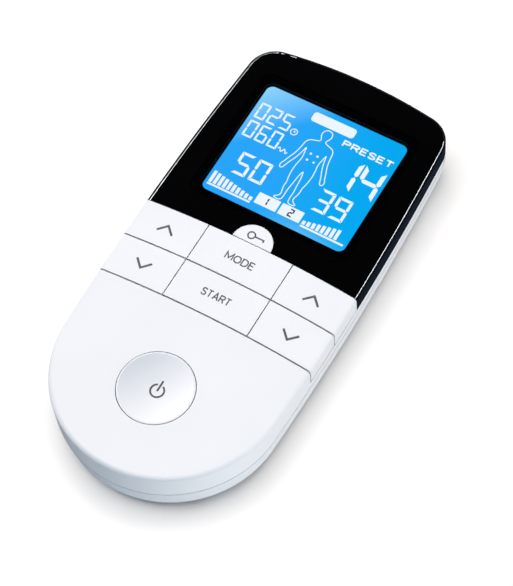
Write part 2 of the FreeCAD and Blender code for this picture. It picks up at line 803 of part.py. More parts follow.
def make_board():
    blank = outline_block("board_blank", s.board_inset, board_under, board_top)
    holes = [rod("board_boss_hole_%d" % n, x, y, board_under - past, above, s.boss_tip_radius + s.board_fit)
             for n, (x, y) in enumerate(bosses, 1)]
    holes += [rod("board_screw_hole_%d" % n, x, y, board_under - past, above,
                  s.board_screw_radius + s.board_fit) for n, (x, y) in enumerate(board_posts, 1)]
    piece(cut("board_drilled", blank, *holes), "main_board")


def make_switches():
    switches = []
    for number, (x, y) in enumerate(switch_spots, 1):
        case = centred_box("switch_case_%d" % number, x, y, s.switch_size, s.switch_size,
                           board_top, board_top + s.switch_body_height)
        plunger = rod("switch_plunger_%d" % number, x, y, board_top + s.switch_body_height - s.root,
                      board_top + s.switch_height, s.switch_plunger_radius)
        switches.append(fuse("switch_%d" % number, case, plunger))
    piece(group("key_switches", *switches), "key_switches")


def hanging_box(name, x, y, width, length, height):
    """A component soldered to the underside of the board."""
    return centred_box(name, dim(x), dim(y), width, length, board_under - height, board_under)


def hanging_rod(name, x, y, radius, height):
    return rod(name, x, y, board_under - height, board_under, radius)


def make_components():
    controller_line = display_end - s.controller_distance
    driver_line = controller_line - (s.chip_size + s.driver_length) / 2 - s.component_gap
    coil_line = driver_line - (s.driver_length + s.coil_length) / 2 - s.coil_step - s.component_gap
    piece(hanging_box("controller_block", 0, controller_line, s.chip_size, s.chip_size, s.chip_height),
          "microcontroller")
    piece(hanging_rod("buzzer_can", 0, display_end - s.buzzer_distance, s.buzzer_radius, s.buzzer_height),
          "buzzer")
    piece(hanging_box("crystal_can", 0, driver_line, s.crystal_length, s.crystal_width, s.crystal_height),
          "quartz_crystal")
    coils, stores, chips = [], [], []
    for side in (-1, 1):
        tag = "left" if side < 0 else "right"
        x = s.coil_column * side
        core = hanging_box("coil_core_" + tag, x, coil_line, s.coil_width, s.coil_length, s.coil_height)
        winding = hanging_box("coil_winding_" + tag, x, coil_line, s.coil_width - s.coil_step * 2,
                              s.coil_length + s.coil_step * 2, s.coil_height - s.coil_step)
        coils.append(fuse("coil_" + tag, core, winding))
        stores.append(hanging_rod("store_" + tag, s.store_column * side, coil_line, s.store_radius,
                                  s.store_height))
        chips.append(hanging_box("driver_" + tag, s.coil_column * side, driver_line, s.driver_width,
                                 s.driver_length, s.chip_height))
    piece(group("coils", *coils), "output_transformers")
    piece(group("stores", *stores), "storage_capacitors")
    piece(group("drivers", *chips), "board_chips")


# ---- output sockets in the display end ----

socket_nose_end = (display_end_centre_y - s.socket_recess
                   + root(s.display_end_radius * s.display_end_radius - s.socket_column * s.socket_column))
socket_face = socket_nose_end - s.socket_nose_length


def make_sockets():
    tongues = []
    for side, tag in ((-1, "left"), (1, "right")):
        x = s.socket_column * side
        case = box("socket_case_" + tag, x - s.socket_body_width / 2, x + s.socket_body_width / 2,
                   socket_face - s.socket_body_length, socket_face,
                   s.socket_height - s.socket_nose_radius, board_under)
        nose = rod_along_y("socket_nose_" + tag, x, s.socket_height, socket_face - s.root, socket_nose_end,
                           s.socket_nose_radius)
        bore = rod_along_y("socket_bore_" + tag, x, s.socket_height, socket_nose_end - s.socket_bore_length,
                           socket_nose_end + past, s.socket_bore_radius)
        piece(cut("socket_" + tag, fuse("socket_solid_" + tag, case, nose), bore), "output_socket_" + tag)
        back = socket_face - s.socket_body_length
        tongues.append(box("socket_tongue_" + tag, x - s.tongue_width / 2, x + s.tongue_width / 2,
                           back - s.contact_thickness, back, s.socket_height, board_under))
    piece(group("socket_tongues", *tongues), "socket_contacts")


# ---- battery bay ----

cell_axis = s.lid_thickness + s.cell_lid_gap + s.cell_radius
bay_ceiling = cell_axis + s.cell_radius + s.cell_gap / 2
seat_low = s.lid_thickness + s.lid_fit
seat_top = seat_low + s.lid_seat_thickness
lug_top = s.lid_thickness + s.lug_height


def make_batteries():
    """Three cells side by side, each facing the other way from its neighbour."""
    plates, leaves = [], []
    for number, tag in ((-1, "left"), (0, "middle"), (1, "right")):
        x = cell_pitch * number
        forward = number == 0
        if forward:
            tip, sign = bay_high - s.contact_thickness, -1
        else:
            tip, sign = bay_low + s.contact_thickness, 1
        shoulder = tip + s.cell_cap_height * sign
        foot = tip + s.cell_length * sign
        can_span, cap_span = (shoulder, foot), (tip, shoulder)
        if forward:
            can_span, cap_span = can_span[::-1], cap_span[::-1]
        can = rod_along_y("cell_can_" + tag, x, cell_axis, *can_span, s.cell_radius)
        cap = rod_along_y("cell_cap_" + tag, x, cell_axis, *cap_span, s.cell_cap_radius)
        piece(fuse("cell_" + tag, can, cap), "battery_" + tag)
        for end, inner in (("low", bay_low), ("high", bay_high - s.contact_thickness)):
            plates.append(box("plate_%s_%s" % (tag, end), x - s.plate_size / 2, x + s.plate_size / 2,
                              inner, inner + s.contact_thickness,
                              cell_axis - s.plate_size / 2, cell_axis + s.plate_size / 2))
        root_y = bay_low + s.contact_thickness if forward else bay_high - s.contact_thickness
        leaves.append(make_leaf("leaf_" + tag, x, root_y, foot, sign))
    piece(group("contact_plates", *plates), "battery_plates")
    piece(group("contact_leaves", *leaves), "battery_springs")


def make_leaf(name, x, start, end, sign):
    """A bent strip that presses on a cell: from the plate out to the cell and back."""
    body = new_body(name)
    sketch = sketch_on(body, name + "_profile", x - s.leaf_width / 2, "YZ_Plane")
    inner = end + s.leaf_thickness * sign
    low, high = cell_axis - s.leaf_rise, cell_axis + s.leaf_rise
    outside = [(start, low), (end, cell_axis - s.leaf_tip), (end, cell_axis + s.leaf_tip), (start, high)]
    inside = [(start, high - s.leaf_thickness), (inner, cell_axis + s.leaf_tip / 2),
              (inner, cell_axis - s.leaf_tip / 2), (start, low + s.leaf_thickness)]
    draw_polygon(sketch, outside + inside)
    pad(body, sketch, s.leaf_width, name + "_pad")
    return body


def make_battery_cover(form):
    field = box("lid_field", s.lid_fit - s.lid_half_width, s.lid_half_width - s.lid_fit, -far_end,
                lid_line - s.lid_fit, -past, s.lid_thickness)
    plate = common("lid_plate", form, field)
    tab = box("lid_tab", -s.tab_width / 2, s.tab_width / 2, lid_line - s.tab_length, lid_line + s.tab_length,
              s.lid_thickness - s.tab_thickness, s.lid_thickness)
    parts = [plate, tab]
    for side in (-1, 1):
        for number in (0, 1):
            line = lid_line - s.lug_first - s.lug_pitch * number
            tag = "%s_%d" % ("left" if side < 0 else "right", number)
            inner, bend = s.lug_column, s.lug_column + s.lug_stem
            outer = bend + s.lug_lip
            parts.append(mirrored_box("lug_stem_" + tag, side, inner, bend, line, line + s.lug_length,
                                      s.lid_thickness - s.root, lug_top))
            parts.append(mirrored_box("lug_lip_" + tag, side, inner, outer, line, line + s.lug_length,
                                      lug_top - s.lug_lip_thickness, lug_top))
    grooves = []
    for number in range(int(s.grip_grooves.value)):
        line = lid_line - s.grip_first - s.grip_pitch * number
        grooves.append(box("grip_%d" % number, -s.grip_width / 2, s.grip_width / 2,
                           line - s.grip_groove, line, -past, s.grip_depth))
    piece(cut("battery_cover", fuse("lid_solid", *parts), *grooves), "battery_cover")


def mirrored_box(name, side, inner, outer, y0, y1, z0, z1):
    """A block at a distance from the centre line, on the left for side -1."""
    low, high = (-outer, -inner) if side < 0 else (inner, outer)
    return box(name, low, high, y0, y1, z0, z1)


# ---- rear housing ----

def make_rear_housing(form):
    hollow = tapered_block("rear_hollow", s.wall, s.wall, s.seam_height, s.back_edge_radius - s.wall)
    shell = cut("rear_shell", form, hollow)
    lip_inset = s.wall + s.cover_fit
    lip_foot = s.seam_height - s.lip_root
    lip = cut("seam_lip", outline_block("lip_outer", lip_inset, lip_foot, s.seam_height + s.lip_height),
              outline_block("lip_inner", lip_inset + s.lip_thickness, lip_foot - past, above))
    border = s.lid_half_width + s.lid_seat_border
    seat = common("lid_seat", form, box("lid_seat_block", -border, border, -far_end,
                                        lid_line + s.lid_seat_border, 0, seat_top))
    bay = box("bay_block", -bay_half - s.bay_wall, bay_half + s.bay_wall, bay_low - s.bay_wall,
              bay_high + s.bay_wall, s.wall / 2, bay_ceiling + s.bay_roof)
    posts = [rod("rear_post_%d" % n, x, y, s.wall - s.root, board_under - s.boss_board_gap, s.boss_radius)
             for n, (x, y) in enumerate(bosses, 1)]
    solid = fuse("rear_solid", shell, lip, seat, bay, *posts)

    tools = [box("lid_recess", -s.lid_half_width, s.lid_half_width, -far_end, lid_line, -past, seat_low),
             box("bay_space", -bay_half, bay_half, bay_low, bay_high, -past, bay_ceiling),
             box("tab_slot", -s.tab_width / 2 - s.lid_fit, s.tab_width / 2 + s.lid_fit, lid_line - past,
                 lid_line + s.tab_length + s.lid_fit,
                 s.lid_thickness - s.tab_thickness - s.lid_fit, seat_low)]
    groove_end = lid_line - s.lug_first + s.lug_length + s.lid_fit
    inner, bend = s.lug_column - s.lid_fit, s.lug_column + s.lug_stem + s.lid_fit
    outer = bend + s.lug_lip
    for side in (-1, 1):
        tag = "left" if side < 0 else "right"
        tools.append(mirrored_box("stem_groove_" + tag, side, inner, bend, -far_end, groove_end, 0,
                                  lug_top + s.lid_fit))
        tools.append(mirrored_box("lip_groove_" + tag, side, inner, outer, -far_end, groove_end,
                                  lug_top - s.lug_lip_thickness - s.lid_fit, lug_top + s.lid_fit))
        tools.append(rod_along_y("socket_hole_" + tag, s.socket_column * side, s.socket_height,
                                 socket_face - s.socket_fit, s.body_length,
                                 s.socket_nose_radius + s.socket_fit))
    for number, (x, y) in enumerate(bosses, 1):
        tools.append(rod("screw_hole_%d" % number, x, y, -past, above, s.screw_radius + s.screw_clearance))
        tools.append(rod("screw_sink_%d" % number, x, y, -past, s.screw_sink,
                         s.screw_head_radius + s.screw_clearance))
    piece(cut("rear_housing", solid, *tools), "rear_housing")


# ---- fasteners ----

def screw(name, x, y, head_low, head_height, head_radius, length, radius):
    head = rod(name + "_head", x, y, head_low, head_low + head_height, head_radius)
    seat = head_low + head_height
    shank = rod(name + "_shank", x, y, seat - s.root, seat + length, radius)
    return fuse(name, head, shank)


def make_screws():
    housing = [screw("housing_screw_%d" % n, x, y, s.screw_sink - s.screw_head_height, s.screw_head_height,
                     s.screw_head_radius, s.screw_length, s.screw_radius)
               for n, (x, y) in enumerate(bosses, 1)]
    piece(group("housing_screw_set", *housing), "housing_screws")
    board = [screw("board_screw_%d" % n, x, y, board_under - s.board_screw_head_height,
                   s.board_screw_head_height, s.board_screw_head_radius, s.board_screw_length,
                   s.board_screw_radius)
             for n, (x, y) in enumerate(board_posts, 1)]
    piece(group("board_screw_set", *board), "board_screws")


# ---- the whole part ----

make_front_housing()
make_display_cover()
make_display_window()
make_window_gasket()
make_keys()
make_key_lock()
make_power_button()
make_display()
make_board()
make_switches()
make_components()
make_sockets()
make_batteries()
back_form = tapered_block("back_form", 0, 0, s.seam_height, s.back_edge_radius)
make_battery_cover(back_form)
make_rear_housing(back_form)
make_screws()
doc.recompute()

faulty = [thing.Name for thing in doc.Objects if "Invalid" in thing.State or "Error" in thing.State]
broken = [thing.Label for thing in pieces if thing.Shape.isNull() or not thing.Shape.isValid()]
if faulty or broken:
    raise SystemExit("failed objects: %s; bad shapes: %s" % (faulty, broken))

os.makedirs("parts", exist_ok=True)
for thing in pieces:
    thing.Shape.exportStep(os.path.join("parts", thing.Label + ".step"))
    print("%-22s %2d solid(s) %10.1f mm3" % (thing.Label, len(thing.Shape.Solids), thing.Shape.Volume))
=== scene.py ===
# Two-channel TENS unit: studio scene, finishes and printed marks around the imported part.
import json
import math
import bmesh
import bpy
from mathutils import Matrix, Vector
from mathutils.bvhtree import BVHTree


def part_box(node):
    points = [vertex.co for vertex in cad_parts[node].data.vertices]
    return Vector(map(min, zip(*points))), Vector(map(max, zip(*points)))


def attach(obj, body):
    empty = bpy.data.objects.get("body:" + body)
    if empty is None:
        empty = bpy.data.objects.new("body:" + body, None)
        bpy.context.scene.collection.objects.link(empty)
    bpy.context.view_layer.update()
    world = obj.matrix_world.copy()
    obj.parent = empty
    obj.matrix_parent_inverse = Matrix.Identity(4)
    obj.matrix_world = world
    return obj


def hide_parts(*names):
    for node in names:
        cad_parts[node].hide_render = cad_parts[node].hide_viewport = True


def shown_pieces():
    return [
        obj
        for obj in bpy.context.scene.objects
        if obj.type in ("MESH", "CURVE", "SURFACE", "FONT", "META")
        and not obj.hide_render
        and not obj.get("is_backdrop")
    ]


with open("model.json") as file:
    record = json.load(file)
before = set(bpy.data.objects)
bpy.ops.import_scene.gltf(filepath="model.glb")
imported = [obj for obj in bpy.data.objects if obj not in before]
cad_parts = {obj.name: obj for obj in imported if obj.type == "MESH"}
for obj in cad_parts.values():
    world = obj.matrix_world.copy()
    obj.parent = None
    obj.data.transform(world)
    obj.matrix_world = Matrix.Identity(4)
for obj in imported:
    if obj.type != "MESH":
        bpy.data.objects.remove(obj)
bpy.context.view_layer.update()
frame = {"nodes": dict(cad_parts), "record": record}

mm = 0.001
scene = bpy.context.scene
nodes = frame["nodes"]


# the camera
cameraSettings = {
    "target": (5.2, -0.69, 10.25),    # mm, in the part's frame
    "distance": 574.5,                # mm
    "azimuth": 36.71,                 # degrees from -Y towards +X
    "elevation": 61.12,
    "roll": -7.21,
    "lens": 134.78,
    "sensor": 36,                     # mm
    "nearest": 0.01,                  # m
}


def placeCamera(settings):
    azimuth = math.radians(settings["azimuth"])
    elevation = math.radians(settings["elevation"])
    roll = math.radians(settings["roll"])
    back = Vector((math.sin(azimuth) * math.cos(elevation),
                   -math.cos(azimuth) * math.cos(elevation),
                   math.sin(elevation)))
    level = Vector((math.cos(azimuth), math.sin(azimuth), 0))
    upright = back.cross(level)
    right = level * math.cos(roll) + upright * math.sin(roll)
    up = back.cross(right)
    data = bpy.data.cameras.new("studioCamera")
    data.lens = settings["lens"]
    data.sensor_width = settings["sensor"]
    data.clip_start = settings["nearest"]
    camera = bpy.data.objects.new("studioCamera", data)
    scene.collection.objects.link(camera)
    place = Matrix((right, up, back)).transposed().to_4x4()
    place.translation = (Vector(settings["target"]) + back * settings["distance"]) * mm
    camera.matrix_world = place
    scene.camera = camera


placeCamera(cameraSettings)
print("camera placed")


# studio light
studioSettings = {
    "floorSide": 6.0,                  # m
    "floorTone": (0.935, 0.908, 0.887),
    "floorDrift": 1.01,                # how much paler the floor's clouds are
    "floorScale": 2,
    "floorRough": 0.9,
    "skyHeights": [-1.0, -0.02, 0.0, 0.28, 0.50, 0.68, 1.0],   # upward part of the direction
    "skyCool": [(0.035, 0.055, 0.09), (0.035, 0.055, 0.09), (0.11, 0.23, 0.38), (0.09, 0.19, 0.31),
                (0.05, 0.09, 0.14), (0.020, 0.024, 0.032), (0.012, 0.013, 0.016)],
    "skyWarm": [(0.030, 0.045, 0.07), (0.030, 0.045, 0.07), (0.42, 0.44, 0.47), (0.34, 0.36, 0.39),
                (0.11, 0.13, 0.16), (0.020, 0.022, 0.028), (0.012, 0.013, 0.016)],
    "warmSide": (0.85, 0.53, 0.0),     # the direction of the paler half of the sky
    "lampTarget": (0, 0, 0.01),        # m
    # a matte lamp makes no glints, a gloss lamp makes nothing else and also shows through clear pieces
    "lamps": {
        "keyLamp": {"from": (-0.92, 0.62, 1.95), "size": (1.45, 1.45), "power": 66.0,
                    "tint": (1.0, 0.94, 0.89), "kind": "matte", "lights": "body"},
        "buttonLamp": {"from": (-1.60, 0.55, 0.95), "size": (1.2, 1.2), "power": 88.0,
                       "tint": (1.0, 0.94, 0.89), "kind": "matte", "lights": "button"},
        "topFill": {"from": (-0.30, 0.50, 1.95), "size": (2.0, 2.0), "power": 11.0,
                    "tint": (0.42, 0.68, 1.0), "kind": "matte", "lights": "object"},
        "endFill": {"from": (0.80, -1.30, 0.32), "size": (1.0, 0.55), "power": 4.2,
                    "tint": (0.30, 0.72, 1.05), "kind": "matte", "lights": "object"},
        "rightFill": {"from": (1.50, 0.0, 0.18), "size": (1.2, 0.3), "power": 16.0,
                      "tint": (1.0, 0.98, 0.96), "kind": "matte", "lights": "object"},
        "floorLamp": {"from": (-0.20, 0.0, 2.20), "size": (1.8, 1.8), "power": 62.0,
                      "tint": (1.0, 1.0, 0.995), "kind": "matte", "lights": "floor"},
        "rightGlint": {"from": (0.90, 0.47, 0.64), "size": (1.2, 0.20), "power": 42.0,
                       "tint": (0.95, 0.98, 1.0), "kind": "gloss", "lights": "edge"},
        "leftGlint": {"from": (-0.75, 0.47, 0.83), "size": (1.2, 0.20), "power": 60.0,
                      "tint": (0.95, 0.98, 1.0), "kind": "gloss", "lights": "edge"},
    },
}


firstColour, secondColour, mixedColour = 6, 7, 2      # the colour sockets of a mix node


def skyRamp(tree, height, heights, tones):
    ramp = tree.nodes.new("ShaderNodeValToRGB")
    stops = ramp.color_ramp.elements
    while len(stops) < len(tones):
        stops.new(0.5)
    for stop, place, tone in zip(stops, heights, tones):
        stop.position = (place + 1) / 2
        stop.color = (*tone, 1)
    tree.links.new(height, ramp.inputs[0])
    return ramp.outputs["Color"]


def buildSky(settings):
    # bright near the horizon, paler on one side, dark overhead and underfoot
    world = bpy.data.worlds.new("studioSky")
    world.use_nodes = True
    tree = world.node_tree
    coordinate = tree.nodes.new("ShaderNodeTexCoord")
    parts = tree.nodes.new("ShaderNodeSeparateXYZ")
    tree.links.new(coordinate.outputs["Generated"], parts.inputs[0])
    facing = tree.nodes.new("ShaderNodeVectorMath")
    facing.operation = "DOT_PRODUCT"
    tree.links.new(coordinate.outputs["Generated"], facing.inputs[0])
    facing.inputs[1].default_value = settings["warmSide"]
    lifted = []
    for source in (facing.outputs["Value"], parts.outputs["Z"]):   # -1..1 becomes 0..1
        lift = tree.nodes.new("ShaderNodeMapRange")
        lift.inputs["From Min"].default_value = -1
        tree.links.new(source, lift.inputs["Value"])
        lifted.append(lift.outputs["Result"])
    blend = tree.nodes.new("ShaderNodeMix")
    blend.data_type = "RGBA"
    tree.links.new(lifted[0], blend.inputs["Factor"])
    for socket, side in ((firstColour, "skyCool"), (secondColour, "skyWarm")):
        tree.links.new(skyRamp(tree, lifted[1], settings["skyHeights"], settings[side]),
                       blend.inputs[socket])
    tree.links.new(blend.outputs[mixedColour], tree.nodes["Background"].inputs["Color"])
    scene.world = world


def addLamp(name, facts, target):
    data = bpy.data.lights.new(name, "AREA")
    data.shape = "RECTANGLE"
    data.size, data.size_y = facts["size"]
    data.energy = facts["power"]
    data.color = facts["tint"]
    lamp = bpy.data.objects.new(name, data)
    scene.collection.objects.link(lamp)
    lamp.location = facts["from"]
    lamp.rotation_euler = (target - lamp.location).to_track_quat("-Z", "Y").to_euler()
    gloss = facts["kind"] == "gloss"
    lamp.visible_diffuse = not gloss
    lamp.visible_glossy = gloss
    lamp.visible_transmission = gloss
    lamp.light_linking.receiver_collection = litGroups[facts["lights"]]


litGroups = {name: bpy.data.collections.new(name + "Lit")
             for name in ("object", "body", "button", "edge", "floor")}
buildSky(studioSettings)
for lampName, lampFacts in studioSettings["lamps"].items():
    addLamp(lampName, lampFacts, Vector(studioSettings["lampTarget"]))
scene.view_settings.view_transform = "Standard"
print("studio lit")


# helpers for materials
def startMaterial(name):
    material = bpy.data.materials.new(name)
    material.use_nodes = True
    return material, material.node_tree, material.node_tree.nodes["Principled BSDF"]


def addNode(tree, kind, links=None, **values):
    # values go to the node's own settings or to its sockets by name
    node = tree.nodes.new(kind)
    for key, value in values.items():
        if hasattr(node, key):
            setattr(node, key, value)
        else:
            node.inputs[key.replace("_", " ")].default_value = value
    for socket, source in (links or {}).items():
        tree.links.new(source, node.inputs[socket])
    return node


def partCoordinate(tree):
    return addNode(tree, "ShaderNodeTexCoord").outputs["Object"]


def noiseOf(tree, scale, detail=2.0, stretch=None):
    source = partCoordinate(tree)
    if stretch:
        source = addNode(tree, "ShaderNodeVectorMath", {0: source}, operation="MULTIPLY")
        source.inputs[1].default_value = stretch
        source = source.outputs[0]
    return addNode(tree, "ShaderNodeTexNoise", {"Vector": source}, Scale=scale,
                   Detail=detail).outputs["Fac"]


def rampOf(tree, source, stops):
    node = addNode(tree, "ShaderNodeValToRGB", {0: source})
    elements = node.color_ramp.elements
    while len(elements) < len(stops):
        elements.new(0.5)
    for element, (place, tone) in zip(elements, stops):
        element.position = place
        element.color = (*tone, 1)
    return node.outputs["Color"]


def rangeOf(tree, source, low, high, start=0.3, end=0.7):
    node = addNode(tree, "ShaderNodeMapRange", {"Value": source})
    for key, value in zip(("From Min", "From Max", "To Min", "To Max"),
                          (start, end, low, high)):
        node.inputs[key].default_value = value
    return node.outputs["Result"]


def roughen(tree, shader, source, depth):
    # depth is the height of the grain in metres
    bump = addNode(tree, "ShaderNodeBump", {"Height": source}, Strength=1.0)
    bump.inputs["Distance"].default_value = depth
    tree.links.new(bump.outputs["Normal"], shader.inputs["Normal"])


def mouldedMaterial(name, facts):
    # injection-moulded plastic: faint tone drift, uneven gloss and a fine skin
    material, tree, shader = startMaterial(name)
    drift = noiseOf(tree, facts["driftScale"])
    tree.links.new(rampOf(tree, drift, [(0.3, facts["tone"]), (0.7, facts["toneHigh"])]),
                   shader.inputs["Base Color"])
    skin = noiseOf(tree, facts["skinScale"], 3.0)
    tree.links.new(rangeOf(tree, skin, *facts["gloss"]), shader.inputs["Roughness"])
    roughen(tree, shader, skin, facts["skinDepth"])
    shader.inputs["IOR"].default_value = facts["ior"]
    return material


whiteShellFinish = {"tone": (0.70, 0.705, 0.72), "toneHigh": (0.72, 0.725, 0.735), "driftScale": 40,
                    "skinScale": 5000, "gloss": (0.30, 0.38), "skinDepth": 0.0000012, "ior": 1.46}
whiteKeyFinish = {"tone": (0.71, 0.715, 0.73), "toneHigh": (0.73, 0.735, 0.745), "driftScale": 55,
                  "skinScale": 5000, "gloss": (0.27, 0.34), "skinDepth": 0.0000010, "ior": 1.46}
# the rear shell is a little darker and bluer than the front shell: painted shade for the shaded lower band
# of the sides
rearShellPaintedShadeFinish = {"tone": (0.66, 0.675, 0.70), "toneHigh": (0.68, 0.695, 0.715), "driftScale": 35,
                   "skinScale": 3800, "gloss": (0.38, 0.48), "skinDepth": 0.000003, "ior": 1.46}
blackCoverFinish = {"tone": (0.0005, 0.0005, 0.0006), "toneHigh": (0.0009, 0.0009, 0.001),
                    "driftScale": 60, "skinScale": 260, "gloss": (0.02, 0.035),
                    "skinDepth": 0.0000002, "ior": 1.42}
blackFrameFinish = {"tone": (0.0008, 0.0008, 0.001), "toneHigh": (0.0015, 0.0015, 0.0018),
                    "driftScale": 200, "skinScale": 4000, "gloss": (0.5, 0.65),
                    "skinDepth": 0.000004, "ior": 1.4}
switchFinish = {"tone": (0.02, 0.02, 0.021), "toneHigh": (0.035, 0.035, 0.036), "driftScale": 300,
                "skinScale": 5000, "gloss": (0.4, 0.55), "skinDepth": 0.000003, "ior": 1.46}
socketFinish = {"tone": (0.012, 0.012, 0.013), "toneHigh": (0.02, 0.02, 0.021), "driftScale": 250,
                "skinScale": 4500, "gloss": (0.35, 0.5), "skinDepth": 0.000003, "ior": 1.46}
chipFinish = {"tone": (0.012, 0.012, 0.013), "toneHigh": (0.026, 0.026, 0.028), "driftScale": 2500,
              "skinScale": 9000, "gloss": (0.45, 0.7), "skinDepth": 0.000006, "ior": 1.5}
ferriteFinish = {"tone": (0.045, 0.042, 0.042), "toneHigh": (0.085, 0.078, 0.076),
                 "driftScale": 1800, "skinScale": 7000, "gloss": (0.55, 0.75),
                 "skinDepth": 0.00001, "ior": 1.5}
lightGuideFinish = {"tone": (0.62, 0.72, 0.80), "toneHigh": (0.70, 0.80, 0.86), "driftScale": 90,
                    "skinScale": 3000, "gloss": (0.25, 0.4), "skinDepth": 0.000002, "ior": 1.49}
inkFinish = {"tone": (0.085, 0.087, 0.098), "toneHigh": (0.105, 0.107, 0.118), "driftScale": 900,
             "skinScale": 8000, "gloss": (0.45, 0.6), "skinDepth": 0.000001, "ior": 1.46}


paneFinish = {"tone": (0.98, 0.985, 0.99), "peelScale": 180, "gloss": (0.0, 0.015),
              "peelDepth": 0.0000004, "ior": 1.42}


def paneMaterial(facts):
    # clear hard-coated acrylic; the coat has the faintest orange peel
    material, tree, shader = startMaterial("clearPane")
    peel = noiseOf(tree, facts["peelScale"])
    tree.links.new(rangeOf(tree, peel, *facts["gloss"]), shader.inputs["Roughness"])
    roughen(tree, shader, peel, facts["peelDepth"])
    shader.inputs["Base Color"].default_value = (*facts["tone"], 1)
    shader.inputs["Transmission Weight"].default_value = 1.0
    shader.inputs["IOR"].default_value = facts["ior"]
    return material


foamFinish = {"cellScale": 3500, "tones": [(0.0, (0.004, 0.004, 0.004)), (0.8, (0.014, 0.014, 0.015))],
              "cellDepth": 0.00006, "rough": 0.95}


def foamMaterial(facts):
    material, tree, shader = startMaterial("blackFoam")
    cells = addNode(tree, "ShaderNodeTexVoronoi", {"Vector": partCoordinate(tree)},
                    Scale=facts["cellScale"])
    tree.links.new(rampOf(tree, cells.outputs["Distance"], facts["tones"]), shader.inputs["Base Color"])
    roughen(tree, shader, cells.outputs["Distance"], facts["cellDepth"])
    shader.inputs["Roughness"].default_value = facts["rough"]
    return material


canFinish = {"tone": (0.55, 0.55, 0.57), "toneHigh": (0.75, 0.75, 0.77), "grainScale": 900,
             "stretch": (1, 1, 6), "gloss": (0.2, 0.35), "grainDepth": 0.000003}
nickelFinish = {"tone": (0.55, 0.53, 0.48), "toneHigh": (0.76, 0.74, 0.69), "grainScale": 1500,
                "stretch": (6, 1, 1), "gloss": (0.18, 0.32), "grainDepth": 0.000003}
zincFinish = {"tone": (0.48, 0.48, 0.50), "toneHigh": (0.70, 0.70, 0.72), "grainScale": 2500,
              "stretch": (1, 1, 1), "gloss": (0.25, 0.4), "grainDepth": 0.000003}


def metalMaterial(name, facts):
    # bare metal with a fine grain, which is finer along the axis with the higher stretch
    material, tree, shader = startMaterial(name)
    grain = noiseOf(tree, facts["grainScale"], 3.0, facts["stretch"])
    tree.links.new(rampOf(tree, grain, [(0.3, facts["tone"]), (0.7, facts["toneHigh"])]),
                   shader.inputs["Base Color"])
    tree.links.new(rangeOf(tree, grain, *facts["gloss"]), shader.inputs["Roughness"])
    roughen(tree, shader, grain, facts["grainDepth"])
    shader.inputs["Metallic"].default_value = 1.0
    return material


boardFinish = {"trackScale": 420, "tones": [(0.05, (0.03, 0.22, 0.09)), (0.09, (0.012, 0.10, 0.045))],
               "trackHeight": 0.00001, "weaveScale": 3000, "gloss": (0.25, 0.4)}


def boardMaterial(facts):
    # solder resist over tracks: the tracks are thin cells' edges, slightly raised
    material, tree, shader = startMaterial("circuitBoard")
    cells = addNode(tree, "ShaderNodeTexVoronoi", {"Vector": partCoordinate(tree)},
                    feature="DISTANCE_TO_EDGE", distance="EUCLIDEAN", Scale=facts["trackScale"])
    tree.links.new(rampOf(tree, cells.outputs["Distance"], facts["tones"]), shader.inputs["Base Color"])
    weave = noiseOf(tree, facts["weaveScale"])
    tree.links.new(rangeOf(tree, weave, *facts["gloss"]), shader.inputs["Roughness"])
    roughen(tree, shader, cells.outputs["Distance"], facts["trackHeight"])
    return material


stripFinish = {"layerScale": 900, "waver": 0.4, "gloss": (0.6, 0.8),
               "tones": [(0.45, (0.02, 0.02, 0.02)), (0.55, (0.35, 0.16, 0.17))]}


def stripMaterial(facts):
    # elastomer strip: fine dark and light layers across the body
    material, tree, shader = startMaterial("connectorStrip")
    layers = addNode(tree, "ShaderNodeTexWave", {"Vector": partCoordinate(tree)},
                     Scale=facts["layerScale"], Distortion=facts["waver"])
    tree.links.new(rampOf(tree, layers.outputs["Fac"], facts["tones"]), shader.inputs["Base Color"])
    tree.links.new(rangeOf(tree, layers.outputs["Fac"], *facts["gloss"]), shader.inputs["Roughness"])
    return material


cellFinish = {"from": -0.047, "to": -0.002,     # m along the body, where the tones start and end
              "tones": [(0.04, (0.55, 0.55, 0.56)), (0.06, (0.03, 0.032, 0.036)),
                        (0.66, (0.05, 0.052, 0.058)), (0.68, (0.58, 0.30, 0.10)),
                        (0.93, (0.62, 0.34, 0.12)), (0.95, (0.6, 0.6, 0.6))],
              "filmScale": 900, "filmDepth": 0.000004, "gloss": (0.2, 0.35)}


def cellMaterial(facts):
    # plain shrink sleeve: grey body with a warm band at one end
    material, tree, shader = startMaterial("cellSleeve")
    parts = addNode(tree, "ShaderNodeSeparateXYZ", {0: partCoordinate(tree)})
    place = rangeOf(tree, parts.outputs["Y"], 0, 1, facts["from"], facts["to"])
    tree.links.new(rampOf(tree, place, facts["tones"]), shader.inputs["Base Color"])
    film = noiseOf(tree, facts["filmScale"])
    tree.links.new(rangeOf(tree, film, *facts["gloss"]), shader.inputs["Roughness"])
    roughen(tree, shader, film, facts["filmDepth"])
    return material


displaySettings = {
    "centre": (0.0, 34.65),            # mm
    "blue": (0.02, 0.37, 0.93),
    "cyan": (0.001, 0.385, 0.86),
    "pale": (0.30, 0.70, 0.96),
    "glass": (0.0, 0.004, 0.012),
    "glow": 1.1,
    "filmScale": 2500,
    "gloss": (0.35, 0.5),
    "shine": 0.1,
    "acrossFrom": -0.008,              # m, where blue starts to turn to cyan
    "acrossTo": 0.014,
    "cornerFrom": 0.053,               # m, distance up and to the left
    "cornerTo": 0.077,
    "lowFrom": 0.0205,                 # m, along the body
    "lowTo": 0.0160,
    "lowMiddle": 0.009,
    "lowHalf": 0.014,
    "lowShare": 0.36,
}
markFinish = {"tones": [(0.3, (0.86, 0.95, 1.0)), (0.7, (0.92, 0.97, 1.0))], "cellScale": 4000,
              "unlit": (0.5, 0.5, 0.5), "glow": 1.0, "rough": 0.5}


